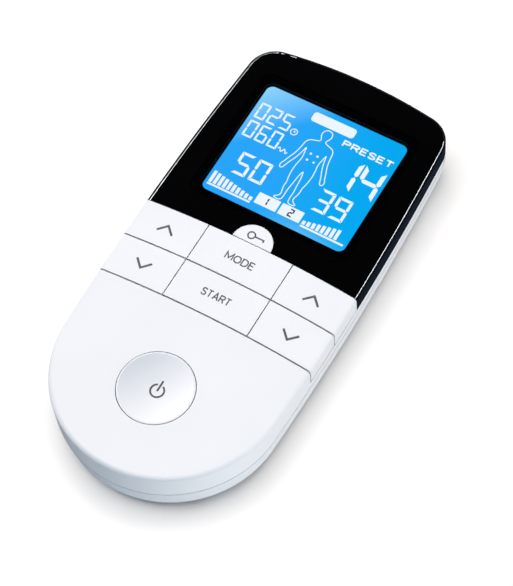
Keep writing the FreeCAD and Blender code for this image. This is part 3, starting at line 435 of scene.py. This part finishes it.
def displayMaterial(facts):
    # backlit blue: paler at the top left and along the lower edge, cyan on the right
    material, tree, shader = startMaterial("displayGlass")
    parts = addNode(tree, "ShaderNodeSeparateXYZ", {0: partCoordinate(tree)})
    x, y = parts.outputs["X"], parts.outputs["Y"]
    across = rangeOf(tree, x, 0, 1, facts["acrossFrom"], facts["acrossTo"])
    base = rampOf(tree, across, [(0.0, facts["blue"]), (1.0, facts["cyan"])])
    slope = addNode(tree, "ShaderNodeMath", {0: y, 1: x}, operation="SUBTRACT").outputs[0]
    corner = rangeOf(tree, slope, 0, 1, facts["cornerFrom"], facts["cornerTo"])
    low = rangeOf(tree, y, 0, facts["lowShare"], facts["lowFrom"], facts["lowTo"])
    offset = addNode(tree, "ShaderNodeMath", {0: x}, operation="SUBTRACT")
    offset.inputs[1].default_value = facts["lowMiddle"]
    spread = addNode(tree, "ShaderNodeMath", {0: offset.outputs[0]}, operation="ABSOLUTE").outputs[0]
    side = rangeOf(tree, spread, 1, 0, 0.0, facts["lowHalf"])
    lowGlow = addNode(tree, "ShaderNodeMath", {0: low, 1: side}, operation="MULTIPLY").outputs[0]
    light = addNode(tree, "ShaderNodeMath", {0: corner, 1: lowGlow}, operation="ADD",
                    use_clamp=True).outputs[0]
    mix = addNode(tree, "ShaderNodeMix", {"Factor": light, firstColour: base}, data_type="RGBA")
    mix.inputs[secondColour].default_value = (*facts["pale"], 1)
    tree.links.new(mix.outputs[mixedColour], shader.inputs["Emission Color"])
    shader.inputs["Emission Strength"].default_value = facts["glow"]
    film = noiseOf(tree, facts["filmScale"])
    tree.links.new(rangeOf(tree, film, *facts["gloss"]), shader.inputs["Roughness"])
    shader.inputs["Base Color"].default_value = (*facts["glass"], 1)
    shader.inputs["Specular IOR Level"].default_value = facts["shine"]
    return material


def markMaterial(facts):
    material, tree, shader = startMaterial("litMarks")
    cells = noiseOf(tree, facts["cellScale"])
    tree.links.new(rampOf(tree, cells, facts["tones"]), shader.inputs["Emission Color"])
    shader.inputs["Emission Strength"].default_value = facts["glow"]
    shader.inputs["Base Color"].default_value = (*facts["unlit"], 1)
    shader.inputs["Roughness"].default_value = facts["rough"]
    return material


def floorMaterial(facts):
    material, tree, shader = startMaterial("studioFloor")
    tone = facts["floorTone"]
    paler = tuple(part * facts["floorDrift"] for part in tone)
    cloud = noiseOf(tree, facts["floorScale"])
    tree.links.new(rampOf(tree, cloud, [(0.3, tone), (0.7, paler)]), shader.inputs["Base Color"])
    shader.inputs["Roughness"].default_value = facts["floorRough"]
    shader.inputs["Specular IOR Level"].default_value = 0.0
    return material


finishes = {
    "white_shell": mouldedMaterial("whiteShell", whiteShellFinish),
    "white_key": mouldedMaterial("whiteKeys", whiteKeyFinish),
    "rear_shell": mouldedMaterial("rearShell", rearShellPaintedShadeFinish),
    "black_cover": mouldedMaterial("glossBlack", blackCoverFinish),
    "clear_pane": paneMaterial(paneFinish),
    "black_foam": foamMaterial(foamFinish),
    "black_frame": mouldedMaterial("frameBlack", blackFrameFinish),
    "display_glass": displayMaterial(displaySettings),
    "light_guide": mouldedMaterial("lightGuide", lightGuideFinish),
    "connector_strip": stripMaterial(stripFinish),
    "board": boardMaterial(boardFinish),
    "switch_black": mouldedMaterial("switchBlack", switchFinish),
    "chip_black": mouldedMaterial("chipEpoxy", chipFinish),
    "can_metal": metalMaterial("canMetal", canFinish),
    "ferrite": mouldedMaterial("ferriteCore", ferriteFinish),
    "socket_black": mouldedMaterial("socketBlack", socketFinish),
    "contact_metal": metalMaterial("nickelSpring", nickelFinish),
    "cell_wrap": cellMaterial(cellFinish),
    "screw_steel": metalMaterial("screwZinc", zincFinish),
}
inkMaterial = mouldedMaterial("greyInk", inkFinish)
litMaterial = markMaterial(markFinish)
for subpart in frame["record"]["subparts"]:
    thing = nodes[subpart["node"]]
    for place in thing.material_slots:
        place.material = finishes[subpart["material_slot"]]
print("finishes laid on", len(nodes), "nodes")


# floor
def buildFloor(facts):
    half = facts["floorSide"] / 2
    mesh = bpy.data.meshes.new("studioFloor")
    sheet = bmesh.new()
    corners = [sheet.verts.new((x * half, y * half, 0)) for x, y in ((-1, -1), (1, -1), (1, 1), (-1, 1))]
    sheet.faces.new(corners)
    sheet.to_mesh(mesh)
    sheet.free()
    floor = bpy.data.objects.new("studioFloor", mesh)
    scene.collection.objects.link(floor)
    mesh.materials.append(floorMaterial(facts))
    litGroups["floor"].objects.link(floor)
    floor.visible_glossy = False       # keeps the black cover's walls dark
    floor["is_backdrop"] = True


buildFloor(studioSettings)


# flat shapes, in mm
def ribbon(points, width, closed=False):
    # quads along a line of points, mitred at the bends
    sharpest = 0.35                    # a tighter bend gets no longer mitre than this gives
    count = len(points)
    left, right = [], []
    for i in range(count):
        here = Vector(points[i])
        before = Vector(points[i - 1]) if (i or closed) else None
        after = Vector(points[(i + 1) % count]) if (i < count - 1 or closed) else None
        d1 = (here - before).normalized() if before is not None else None
        d2 = (after - here).normalized() if after is not None else None
        d1, d2 = d1 or d2, d2 or d1
        along = (d1 + d2).normalized()
        side = Vector((-along.y, along.x))
        reach = width / 2 / max(sharpest, side.dot(Vector((-d1.y, d1.x))))
        left.append(here + side * reach)
        right.append(here - side * reach)
    spans = range(count if closed else count - 1)
    return [(left + right), [(i, count + i, count + (i + 1) % count, (i + 1) % count) for i in spans]]


def patch(points):
    return [[Vector(p) for p in points], [tuple(range(len(points)))]]


def boxPatch(x0, x1, y0, y1):
    return patch([(x0, y0), (x1, y0), (x1, y1), (x0, y1)])


def arcPoints(centre, radius, start, end, steps):
    return [(centre[0] + radius * math.cos(math.radians(start + (end - start) * i / steps)),
             centre[1] + radius * math.sin(math.radians(start + (end - start) * i / steps)))
            for i in range(steps + 1)]


def ringShape(centre, radius, stroke):
    # 24 points round a circle, the last joined to the first
    return ribbon(arcPoints(centre, radius, 0, 345, 23), stroke, closed=True)


def roundedBox(centre, size, radius, steps=6):
    x, y = size[0] / 2 - radius, size[1] / 2 - radius
    points = []
    for sx, sy, start in ((1, 1, 0), (-1, 1, 90), (-1, -1, 180), (1, -1, 270)):
        points += arcPoints((centre[0] + sx * x, centre[1] + sy * y), radius, start, start + 90, steps)
    return points


def smoothed(points, rounds):
    # each round cuts the corners off the closed line
    for _ in range(rounds):
        cut = []
        for i, point in enumerate(points):
            a, b = Vector(point), Vector(points[(i + 1) % len(points)])
            cut += [a * 0.75 + b * 0.25, a * 0.25 + b * 0.75]
        points = cut
    return points


def levelAt(height):
    return lambda x, y: height


def surfaceOf(name, sunk):
    # the height of a CAD piece's upper side in mm, less how far ink is sunk into it
    thing = nodes[name]
    dots = [thing.matrix_world @ dot.co for dot in thing.data.vertices]
    skin = BVHTree.FromPolygons(dots, [tuple(face.vertices) for face in thing.data.polygons])

    def heightAt(x, y):
        return skin.ray_cast(Vector((x * mm, y * mm, 1)), Vector((0, 0, -1)))[0].z / mm - sunk
    return heightAt


def raisedShapes(name, shapes, low, thickness, material, body, origin=(0, 0)):
    # each flat shape becomes a thin plate that stands on the height low(x, y)
    mesh = bpy.data.meshes.new(name)
    build = bmesh.new()
    for points, faces in shapes:
        spots = [(p[0] + origin[0], p[1] + origin[1]) for p in points]
        dots = [build.verts.new((x * mm, y * mm, low(x, y) * mm)) for x, y in spots]
        flat = [build.faces.new([dots[i] for i in face]) for face in faces]
        grown = bmesh.ops.extrude_face_region(build, geom=flat)["geom"]
        top = [item for item in grown if isinstance(item, bmesh.types.BMVert)]
        bmesh.ops.translate(build, verts=top, vec=(0, 0, thickness * mm))
    bmesh.ops.recalc_face_normals(build, faces=build.faces)
    build.to_mesh(mesh)
    build.free()
    piece = bpy.data.objects.new(name, mesh)
    scene.collection.objects.link(piece)
    mesh.materials.append(material)
    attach(piece, body)
    return piece


# the polished edge of the black cover, a skin over its rounded edge
edgeSettings = {"steepest": 0.25, "flattest": 0.993,   # upward part of the normal
                "beyond": 27.0, "beyondEnd": 58.0,      # mm, clear of the window's opening
                "lift": 0.006, "join": 0.001}           # mm


def addCoverEdge(facts):
    source = nodes["display_cover"]
    place = source.matrix_world
    skin = bmesh.new()
    skin.from_mesh(source.data)
    skin.transform(place)
    skin.normal_update()
    extra = []
    for face in skin.faces:
        middle = face.calc_center_median() / mm
        rounded = facts["steepest"] < face.normal.z < facts["flattest"]
        outer = abs(middle.x) > facts["beyond"] or middle.y > facts["beyondEnd"]
        if not (rounded and outer):
            extra.append(face)
    bmesh.ops.delete(skin, geom=extra, context="FACES")
    bmesh.ops.remove_doubles(skin, verts=skin.verts, dist=facts["join"] * mm)
    skin.normal_update()
    for vertex in skin.verts:
        vertex.co += vertex.normal * facts["lift"] * mm
    for face in skin.faces:
        face.smooth = True
    print("cover edge faces", len(skin.faces))
    mesh = bpy.data.meshes.new("cover_edge")
    skin.to_mesh(mesh)
    skin.free()
    piece = bpy.data.objects.new("cover_edge", mesh)
    scene.collection.objects.link(piece)
    mesh.materials.append(finishes["black_cover"])
    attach(piece, "housing")


addCoverEdge(edgeSettings)


# printed symbols on the keys
inkSettings = {"thickness": 0.02, "sunk": 0.01}     # mm
chevronSettings = {"half": 2.3, "height": 2.3, "stroke": 0.62, "across": 22.0,
                   "upFoot": -1.0, "downFoot": -12.9}


def printOn(name, shapes, body):
    # ink that follows the key's crowned or dished face
    raisedShapes(name, shapes, surfaceOf(body, inkSettings["sunk"]),
                 inkSettings["thickness"] + inkSettings["sunk"], inkMaterial, body)


def addChevrons(facts):
    half, high = facts["half"], facts["height"]
    for side, sign in (("left", -1), ("right", 1)):
        x = sign * facts["across"]
        for way, foot, tip in (("up", facts["upFoot"], high), ("down", facts["downFoot"] + high, -high)):
            line = [(x - half, foot), (x, foot + tip), (x + half, foot)]
            printOn("chevron_%s_%s" % (way, side), [ribbon(line, facts["stroke"])],
                    "key_%s_%s" % (side, way))


addChevrons(chevronSettings)

lettersOf = {    # width over height, then strokes on a unit square; a closed stroke ends with None
    "A": (0.78, [[(0, 0), (0.5, 1), (1, 0)], [(0.2, 0.33), (0.8, 0.33)]]),
    "D": (0.74, [[(0, 0), (0, 1), (0.45, 1), (0.82, 0.92), (1, 0.68), (1, 0.32), (0.82, 0.08),
                  (0.45, 0), None]]),
    "E": (0.60, [[(1, 1), (0, 1), (0, 0), (1, 0)], [(0, 0.52), (0.88, 0.52)]]),
    "M": (0.92, [[(0, 0), (0, 1), (0.5, 0.2), (1, 1), (1, 0)]]),
    "O": (0.86, [[(0.5, 1), (0.85, 0.9), (1, 0.65), (1, 0.35), (0.85, 0.1), (0.5, 0), (0.15, 0.1),
                  (0, 0.35), (0, 0.65), (0.15, 0.9), None]]),
    "P": (0.64, [[(0, 0), (0, 1), (0.6, 1), (0.92, 0.92), (1, 0.75), (0.92, 0.57), (0.6, 0.5), (0, 0.5)]]),
    "R": (0.68, [[(0, 0), (0, 1), (0.6, 1), (0.92, 0.92), (1, 0.75), (0.92, 0.58), (0.6, 0.5), (0, 0.5)],
                 [(0.55, 0.5), (1, 0)]]),
    "S": (0.64, [[(0.97, 0.82), (0.78, 0.98), (0.5, 1), (0.15, 0.96), (0.03, 0.78), (0.12, 0.6),
                  (0.5, 0.51), (0.88, 0.42), (1, 0.22), (0.86, 0.05), (0.5, 0), (0.2, 0.02),
                  (0, 0.19)]]),
    "T": (0.70, [[(0, 1), (1, 1)], [(0.5, 1), (0.5, 0)]]),
}


def wordShapes(word, centre, size, stroke):
    # size is the word's width and height over all
    gap = 0.26
    widths = [lettersOf[letter][0] for letter in word]
    unit = (size[0] - stroke) / (sum(widths) + gap * (len(word) - 1))
    high = size[1] - stroke
    left = centre[0] - (size[0] - stroke) / 2
    shapes = []
    for letter, width in zip(word, widths):
        for line in lettersOf[letter][1]:
            closed = line[-1] is None
            points = [(left + x * width * unit, centre[1] + (y - 0.5) * high)
                      for x, y in (line[:-1] if closed else line)]
            shapes.append(ribbon(points, stroke, closed))
        left += (width + gap) * unit
    return shapes


wordSettings = {"size": (8.6, 2.35), "stroke": 0.36,
                "words": {"key_mode": ("MODE", (0.0, 0.9)), "key_start": ("START", (0.0, -11.1))}}


def addWords(facts):
    for body, (word, centre) in facts["words"].items():
        printOn("word_" + word.lower(), wordShapes(word, centre, facts["size"], facts["stroke"]), body)


addWords(wordSettings)

lockSymbol = {"ringAt": (-1.2, 8.97), "ringRadius": 1.0, "stroke": 0.42, "shaftEnd": 2.45,
              "toothDrop": 0.66}


def addLockSymbol(facts):
    x, y = facts["ringAt"]
    r, s = facts["ringRadius"], facts["stroke"]
    ring = ringShape((x, y), r, s)
    shaft = ribbon([(x + r, y), (facts["shaftEnd"], y), (facts["shaftEnd"], y - facts["toothDrop"])], s)
    printOn("key_symbol", [ring, shaft], "key_lock")


addLockSymbol(lockSymbol)

powerSymbol = {"ringAt": (0.38, -40.9), "ringRadius": 1.8, "ringSteps": 28, "stroke": 0.5,
               "gap": 25,              # degrees on each side of the bar
               "barFrom": -41.0, "barTo": -37.85, "barSteps": 6}


def addPowerSymbol(facts):
    x, y = facts["ringAt"]
    ring = ribbon(arcPoints((x, y), facts["ringRadius"], 90 + facts["gap"], 450 - facts["gap"],
                            facts["ringSteps"]), facts["stroke"])
    steps = facts["barSteps"]
    span = facts["barTo"] - facts["barFrom"]
    bar = ribbon([(x, facts["barFrom"] + span * i / steps) for i in range(steps + 1)], facts["stroke"])
    printOn("power_symbol", [ring, bar], "power_button")


addPowerSymbol(powerSymbol)
print("symbols printed")


# what the display shows
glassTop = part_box("lcd_glass")[1].z / mm
segmentsOf = {"0": "abcdef", "1": "bc", "2": "abged", "3": "abgcd", "4": "fgbc", "5": "afgcd",
              "6": "afgecd", "7": "abc", "8": "abcdefg", "9": "abcdfg"}


def segmentShapes(sign, x, y, width, height, stroke, gap):
    # seven mitred strokes in a box of width by height
    w, h, s, g, m = width, height, stroke, gap, height / 2
    top = [(g, h), (w - g, h), (w - g - s, h - s), (g + s, h - s)]
    upperRight = [(w, h - g), (w - s, h - g - s), (w - s, m + s / 2 + g / 2), (w - s / 2, m + g / 2),
                  (w, m + s / 2 + g / 2)]
    middle = [(s / 2 + g, m), (s + g, m + s / 2), (w - s - g, m + s / 2), (w - s / 2 - g, m),
              (w - s - g, m - s / 2), (s + g, m - s / 2)]
    forms = {"a": top, "b": upperRight, "g": middle}
    forms["c"] = [(px, h - py) for px, py in upperRight]
    forms["d"] = [(px, h - py) for px, py in top]
    forms["e"] = [(w - px, h - py) for px, py in upperRight]
    forms["f"] = [(w - px, py) for px, py in upperRight]
    return [patch([(px + x, py + y) for px, py in forms[code]]) for code in segmentsOf[sign]]


displayLayout = {
    "lift": 0.01,                      # mm above the glass
    "thickness": 0.02,
    "numbers": {                       # text: x, y, digit width, height, pitch, stroke, gap
        "time_digits": ("025", -20.3, 7.4, 3.0, 5.2, 3.75, 0.55, 0.08),
        "rate_digits": ("060", -20.3, 1.0, 3.0, 5.4, 3.75, 0.55, 0.08),
        "left_level": ("50", -16.9, -10.5, 4.2, 7.1, 5.2, 0.8, 0.12),
        "right_level": ("39", 7.5, -10.5, 4.2, 7.1, 5.1, 0.8, 0.12),
    },
    "preset": ("PRESET", (12.75, 11.45), (15.2, 2.2), 0.44),  # centre, size, stroke
    "clock": ((-8.1, 8.25), 0.95, 0.26, (0.6, 0.5)),  # centre, radius, stroke, hands over radius
    "wave": ((-7.9, 1.75), 2.9, 0.55, 0.30, 2),       # centre, length, half height, stroke, waves
    "waveSteps": 16,
    "pill": ((0.3, 15.15), (13.0, 3.1), 0.9),         # centre, size, corner radius
    "boxes": {"channel_one": ((-3.35, -14.05), "1"), "channel_two": ((3.75, -14.05), "2")},
    "boxSize": (6.5, 3.5),
    "boxCorner": (0.15, 2),                  # radius, steps
    "boxDigit": (1.5, 2.5, 0.42, 0.03),      # width, height, stroke, gap
    "inkThickness": 0.01,
    "leftBars": {"count": 10, "start": -20.6, "pitch": 1.36, "width": 0.9, "low": -15.8,
                 "high": (-12.05, -14.6), "line": (-20.6, -7.5, -16.6, -16.05)},
    "rightBars": {"count": 8, "start": 7.7, "pitch": 1.36, "width": 0.9, "low": -15.6,
                  "high": (-14.4, -12.4), "line": (7.7, 20.5, -16.4, -15.85)},
    "programmeDigit": {"oneRight": 13.75, "oneWidth": 4, "four": (14.3, 20.4), "low": -1.3, "high": 8.4,
                       "stroke": 1.2, "gap": 0.18},
}


def litShapes(name, shapes):
    # lit marks just above the glass, placed from the display's centre
    raisedShapes(name, shapes, levelAt(glassTop + displayLayout["lift"]), displayLayout["thickness"],
                 litMaterial, "housing", origin=displaySettings["centre"])


def addDisplay(facts, place):
    markTop = glassTop + facts["lift"] + facts["thickness"]
    for name, (text, x, y, wide, high, pitch, stroke, gap) in facts["numbers"].items():
        shapes = []
        for i, sign in enumerate(text):
            shapes += segmentShapes(sign, x + i * pitch, y, wide, high, stroke, gap)
        litShapes(name, shapes)
    litShapes("preset_label", wordShapes(*facts["preset"]))
    (x, y), radius, stroke, (upright, level) = facts["clock"]
    hands = ribbon([(x, y + radius * upright), (x, y), (x + radius * level, y)], stroke)
    litShapes("time_symbol", [ringShape((x, y), radius, stroke), hands])
    (x, y), length, half, stroke, waves = facts["wave"]
    shares = [i / facts["waveSteps"] for i in range(facts["waveSteps"] + 1)]
    line = [(x + length * (share - 0.5), y + half * math.sin(share * 2 * waves * math.pi))
            for share in shares]
    litShapes("rate_symbol", [ribbon(line, stroke)])
    litShapes("mode_pill", [patch(roundedBox(*facts["pill"]))])
    for name, (centre, text) in facts["boxes"].items():
        litShapes(name + "_box", [patch(roundedBox(centre, facts["boxSize"], *facts["boxCorner"]))])
        wide, high, stroke, gap = facts["boxDigit"]
        left = centre[0] - (wide / 2 if text != "1" else wide - stroke / 2)
        raisedShapes(name + "_number", segmentShapes(text, left, centre[1] - high / 2, wide, high,
                                                     stroke, gap),
                     levelAt(markTop), facts["inkThickness"], markInk, "housing",
                     origin=place)
    for name in ("leftBars", "rightBars"):
        bars = facts[name]
        shapes = []
        for i in range(bars["count"]):
            x = bars["start"] + i * bars["pitch"]
            share = i / (bars["count"] - 1)
            high = bars["high"][0] * (1 - share) + bars["high"][1] * share
            shapes.append(boxPatch(x, x + bars["width"], bars["low"], high))
        shapes.append(boxPatch(*bars["line"]))
        litShapes("level_" + name, shapes)
    big = facts["programmeDigit"]
    low, tall = big["low"], big["high"] - big["low"]
    (left, right), wide = big["four"], big["oneWidth"]
    one = segmentShapes("1", big["oneRight"] - wide, low, wide, tall, big["stroke"], big["gap"])
    four = segmentShapes("4", left, low, right - left, tall, big["stroke"], big["gap"])
    litShapes("preset_digits", one + four)


figureSettings = {
    "centre": 0.3,
    "stroke": 0.26,
    "outline": [(0, 13.05), (1.0, 12.7), (1.5, 11.7), (1.35, 10.6), (0.8, 9.8), (0.75, 9.1), (1.7, 8.7),
                (3.3, 8.3), (4.1, 7.4), (4.3, 6.0), (4.5, 4.4), (4.9, 2.6), (5.7, 0.6), (6.15, -0.9),
                (6.7, -1.9), (6.5, -3.0), (5.7, -3.0), (5.35, -1.9), (5.0, -0.8), (4.2, 1.0),
                (3.6, 2.9), (3.25, 4.6), (3.0, 5.8), (2.75, 4.2), (2.4, 2.2), (2.75, 0.2),
                (2.95, -2.0), (2.65, -4.8), (2.3, -6.2), (2.45, -7.8), (1.8, -10.1), (2.2, -10.9),
                (3.3, -11.5), (2.9, -11.9), (1.1, -11.9), (0.85, -10.4), (0.95, -8.2), (0.7, -6.2),
                (0.5, -3.6), (0.12, -1.6)],
    "pads": [(-1.0, 4.4), (1.0, 4.4), (-1.0, 2.3), (1.0, 2.3)],
    "padSide": 0.62,
    "padCorner": (0.15, 2),            # radius, steps
    "smoothing": 2,                    # rounds
}


def addFigure(facts):
    # plain standing outline with four electrode pads, drawn from one half
    half = facts["outline"]
    whole = half + [(-x, y) for x, y in reversed(half[1:])]
    line = smoothed([(x + facts["centre"], y) for x, y in whole], facts["smoothing"])
    shapes = [ribbon(line, facts["stroke"], closed=True)]
    for x, y in facts["pads"]:
        side = facts["padSide"]
        shapes.append(patch(roundedBox((x + facts["centre"], y), (side, side), *facts["padCorner"])))
    litShapes("body_outline", shapes)


markInkFinish = {"tone": (0.09, 0.22, 0.34), "toneHigh": (0.11, 0.25, 0.38), "driftScale": 900,
                 "skinScale": 8000, "gloss": (0.4, 0.5), "skinDepth": 0.000001, "ior": 1.46}
markInk = mouldedMaterial("displayNumbers", markInkFinish)
addDisplay(displayLayout, displaySettings["centre"])
addFigure(figureSettings)
print("display drawn")


# black print under the pane
maskSettings = {"opening": (45.6, 39.4), "radius": 2.6, "outerRadius": 1.6, "inset": 0.15,
                "below": 0.03, "thickness": 0.02}


def addMask(facts, place):
    lowest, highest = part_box("display_window")
    width = (highest.x - lowest.x) / mm - 2 * facts["inset"]
    height = (highest.y - lowest.y) / mm - 2 * facts["inset"]
    middle = ((lowest.x + highest.x) / 2 / mm, (lowest.y + highest.y) / 2 / mm)
    outer = roundedBox(middle, (width, height), facts["outerRadius"])
    inner = roundedBox(place, facts["opening"], facts["radius"])
    count = len(outer)
    shape = [[Vector(p) for p in outer + inner],
             [(i, (i + 1) % count, count + (i + 1) % count, count + i) for i in range(count)]]
    foot = lowest.z / mm - facts["below"] - facts["thickness"]
    raisedShapes("pane_print", [shape], levelAt(foot), facts["thickness"], finishes["black_cover"],
                 "housing")


addMask(maskSettings, displaySettings["centre"])
print("pane printed")

# cross-recessed screws in place of the plain ones in the back
screwSettings = {"headRadius": 2.0, "headFoot": 2.5, "headTop": 4.0, "shankRadius": 1.0, "shankTop": 16.0,
                 "recessHalf": 1.15, "recessWidth": 0.5, "recessDepth": 0.7, "bevel": 0.16,
                 "threadPitch": 0.8, "threadDepth": 0.1, "tipShare": 0.5, "steps": 28,
                 "join": 1e-7}         # m


def lathe(build, profile, centre, steps):
    # profile is (radius, height) in mm, from the axis out and back to it
    rings = []
    for radius, height in profile:
        if radius == 0:
            rings.append([build.verts.new((centre[0] * mm, centre[1] * mm, height * mm))] * steps)
            continue
        turn = [2 * math.pi * i / steps for i in range(steps)]
        rings.append([build.verts.new(((centre[0] + radius * math.cos(a)) * mm,
                                       (centre[1] + radius * math.sin(a)) * mm, height * mm))
                      for a in turn])
    for lower, upper in zip(rings, rings[1:]):
        for i in range(steps):
            j = (i + 1) % steps
            corners = list(dict.fromkeys((lower[i], lower[j], upper[j], upper[i])))
            build.faces.new(corners)


def crossRing(facts, centre):
    # the two outlines of the flat face between the head's rim and its cross
    steps = facts["steps"]
    h, w = facts["recessHalf"], facts["recessWidth"] / 2
    cross = [(h, -w), (h, w), (w, w), (w, h), (-w, h), (-w, w), (-h, w), (-h, -w), (-w, -w), (-w, -h),
             (w, -h), (w, -w)]
    rim = facts["headRadius"] - facts["bevel"]
    ring = [(rim * math.cos(2 * math.pi * i / steps), rim * math.sin(2 * math.pi * i / steps))
            for i in range(steps)]
    return [[(x + centre[0], y + centre[1]) for x, y in line] for line in (ring, cross)]


def screwSpots(facts):
    # centres of the four plain screws, from the corners of the box round them
    low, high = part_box("housing_screws")
    edge = facts["headRadius"]
    return [(x, y) for x in (low.x / mm + edge, high.x / mm - edge)
            for y in (low.y / mm + edge, high.y / mm - edge)]


def addScrews(facts):
    build = bmesh.new()
    foot, top, r = facts["headFoot"], facts["headTop"], facts["headRadius"]
    bevel, shank = facts["bevel"], facts["shankRadius"]
    for spot in screwSpots(facts):
        lathe(build, [(r - bevel, foot), (r, foot + bevel), (r, top), (shank, top)], spot, facts["steps"])
        turns = int((facts["shankTop"] - top) / facts["threadPitch"]) - 1
        thread = [(shank, top)]
        for i in range(turns):
            low = top + (i + 1) * facts["threadPitch"]
            thread += [(shank - facts["threadDepth"], low), (shank, low + facts["threadPitch"] / 2)]
        thread += [(shank * facts["tipShare"], facts["shankTop"]), (0, facts["shankTop"])]
        lathe(build, thread, spot, facts["steps"])
        ring, cross = crossRing(facts, spot)
        edges = []
        for line in (ring, cross):
            dots = [build.verts.new((x * mm, y * mm, foot * mm)) for x, y in line]
            edges += [build.edges.new((dots[i], dots[(i + 1) % len(dots)])) for i in range(len(dots))]
        bmesh.ops.triangle_fill(build, edges=edges, use_beauty=True)
        deep = (foot + facts["recessDepth"]) * mm
        upper = [build.verts.new((x * mm, y * mm, deep)) for x, y in cross]
        for i in range(len(dots)):
            j = (i + 1) % len(dots)
            build.faces.new((dots[i], dots[j], upper[j], upper[i]))
        build.faces.new(upper)
    bmesh.ops.remove_doubles(build, verts=build.verts, dist=facts["join"])
    bmesh.ops.recalc_face_normals(build, faces=build.faces)
    mesh = bpy.data.meshes.new("housing_screw_heads")
    build.to_mesh(mesh)
    build.free()
    mesh.materials.append(finishes["screw_steel"])
    screws = bpy.data.objects.new("cross_screws", mesh)
    scene.collection.objects.link(screws)
    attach(screws, "housing")
    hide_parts("housing_screws")


addScrews(screwSettings)
print("screws set")

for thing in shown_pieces():              # the dished button has a lower lamp of its own
    litGroups["object"].objects.link(thing)
    onButton = thing.name.startswith(("power_button", "power_symbol"))
    litGroups["button" if onButton else "body"].objects.link(thing)
    if thing.name.startswith("cover_edge"):
        litGroups["edge"].objects.link(thing)
print("lamps aimed")
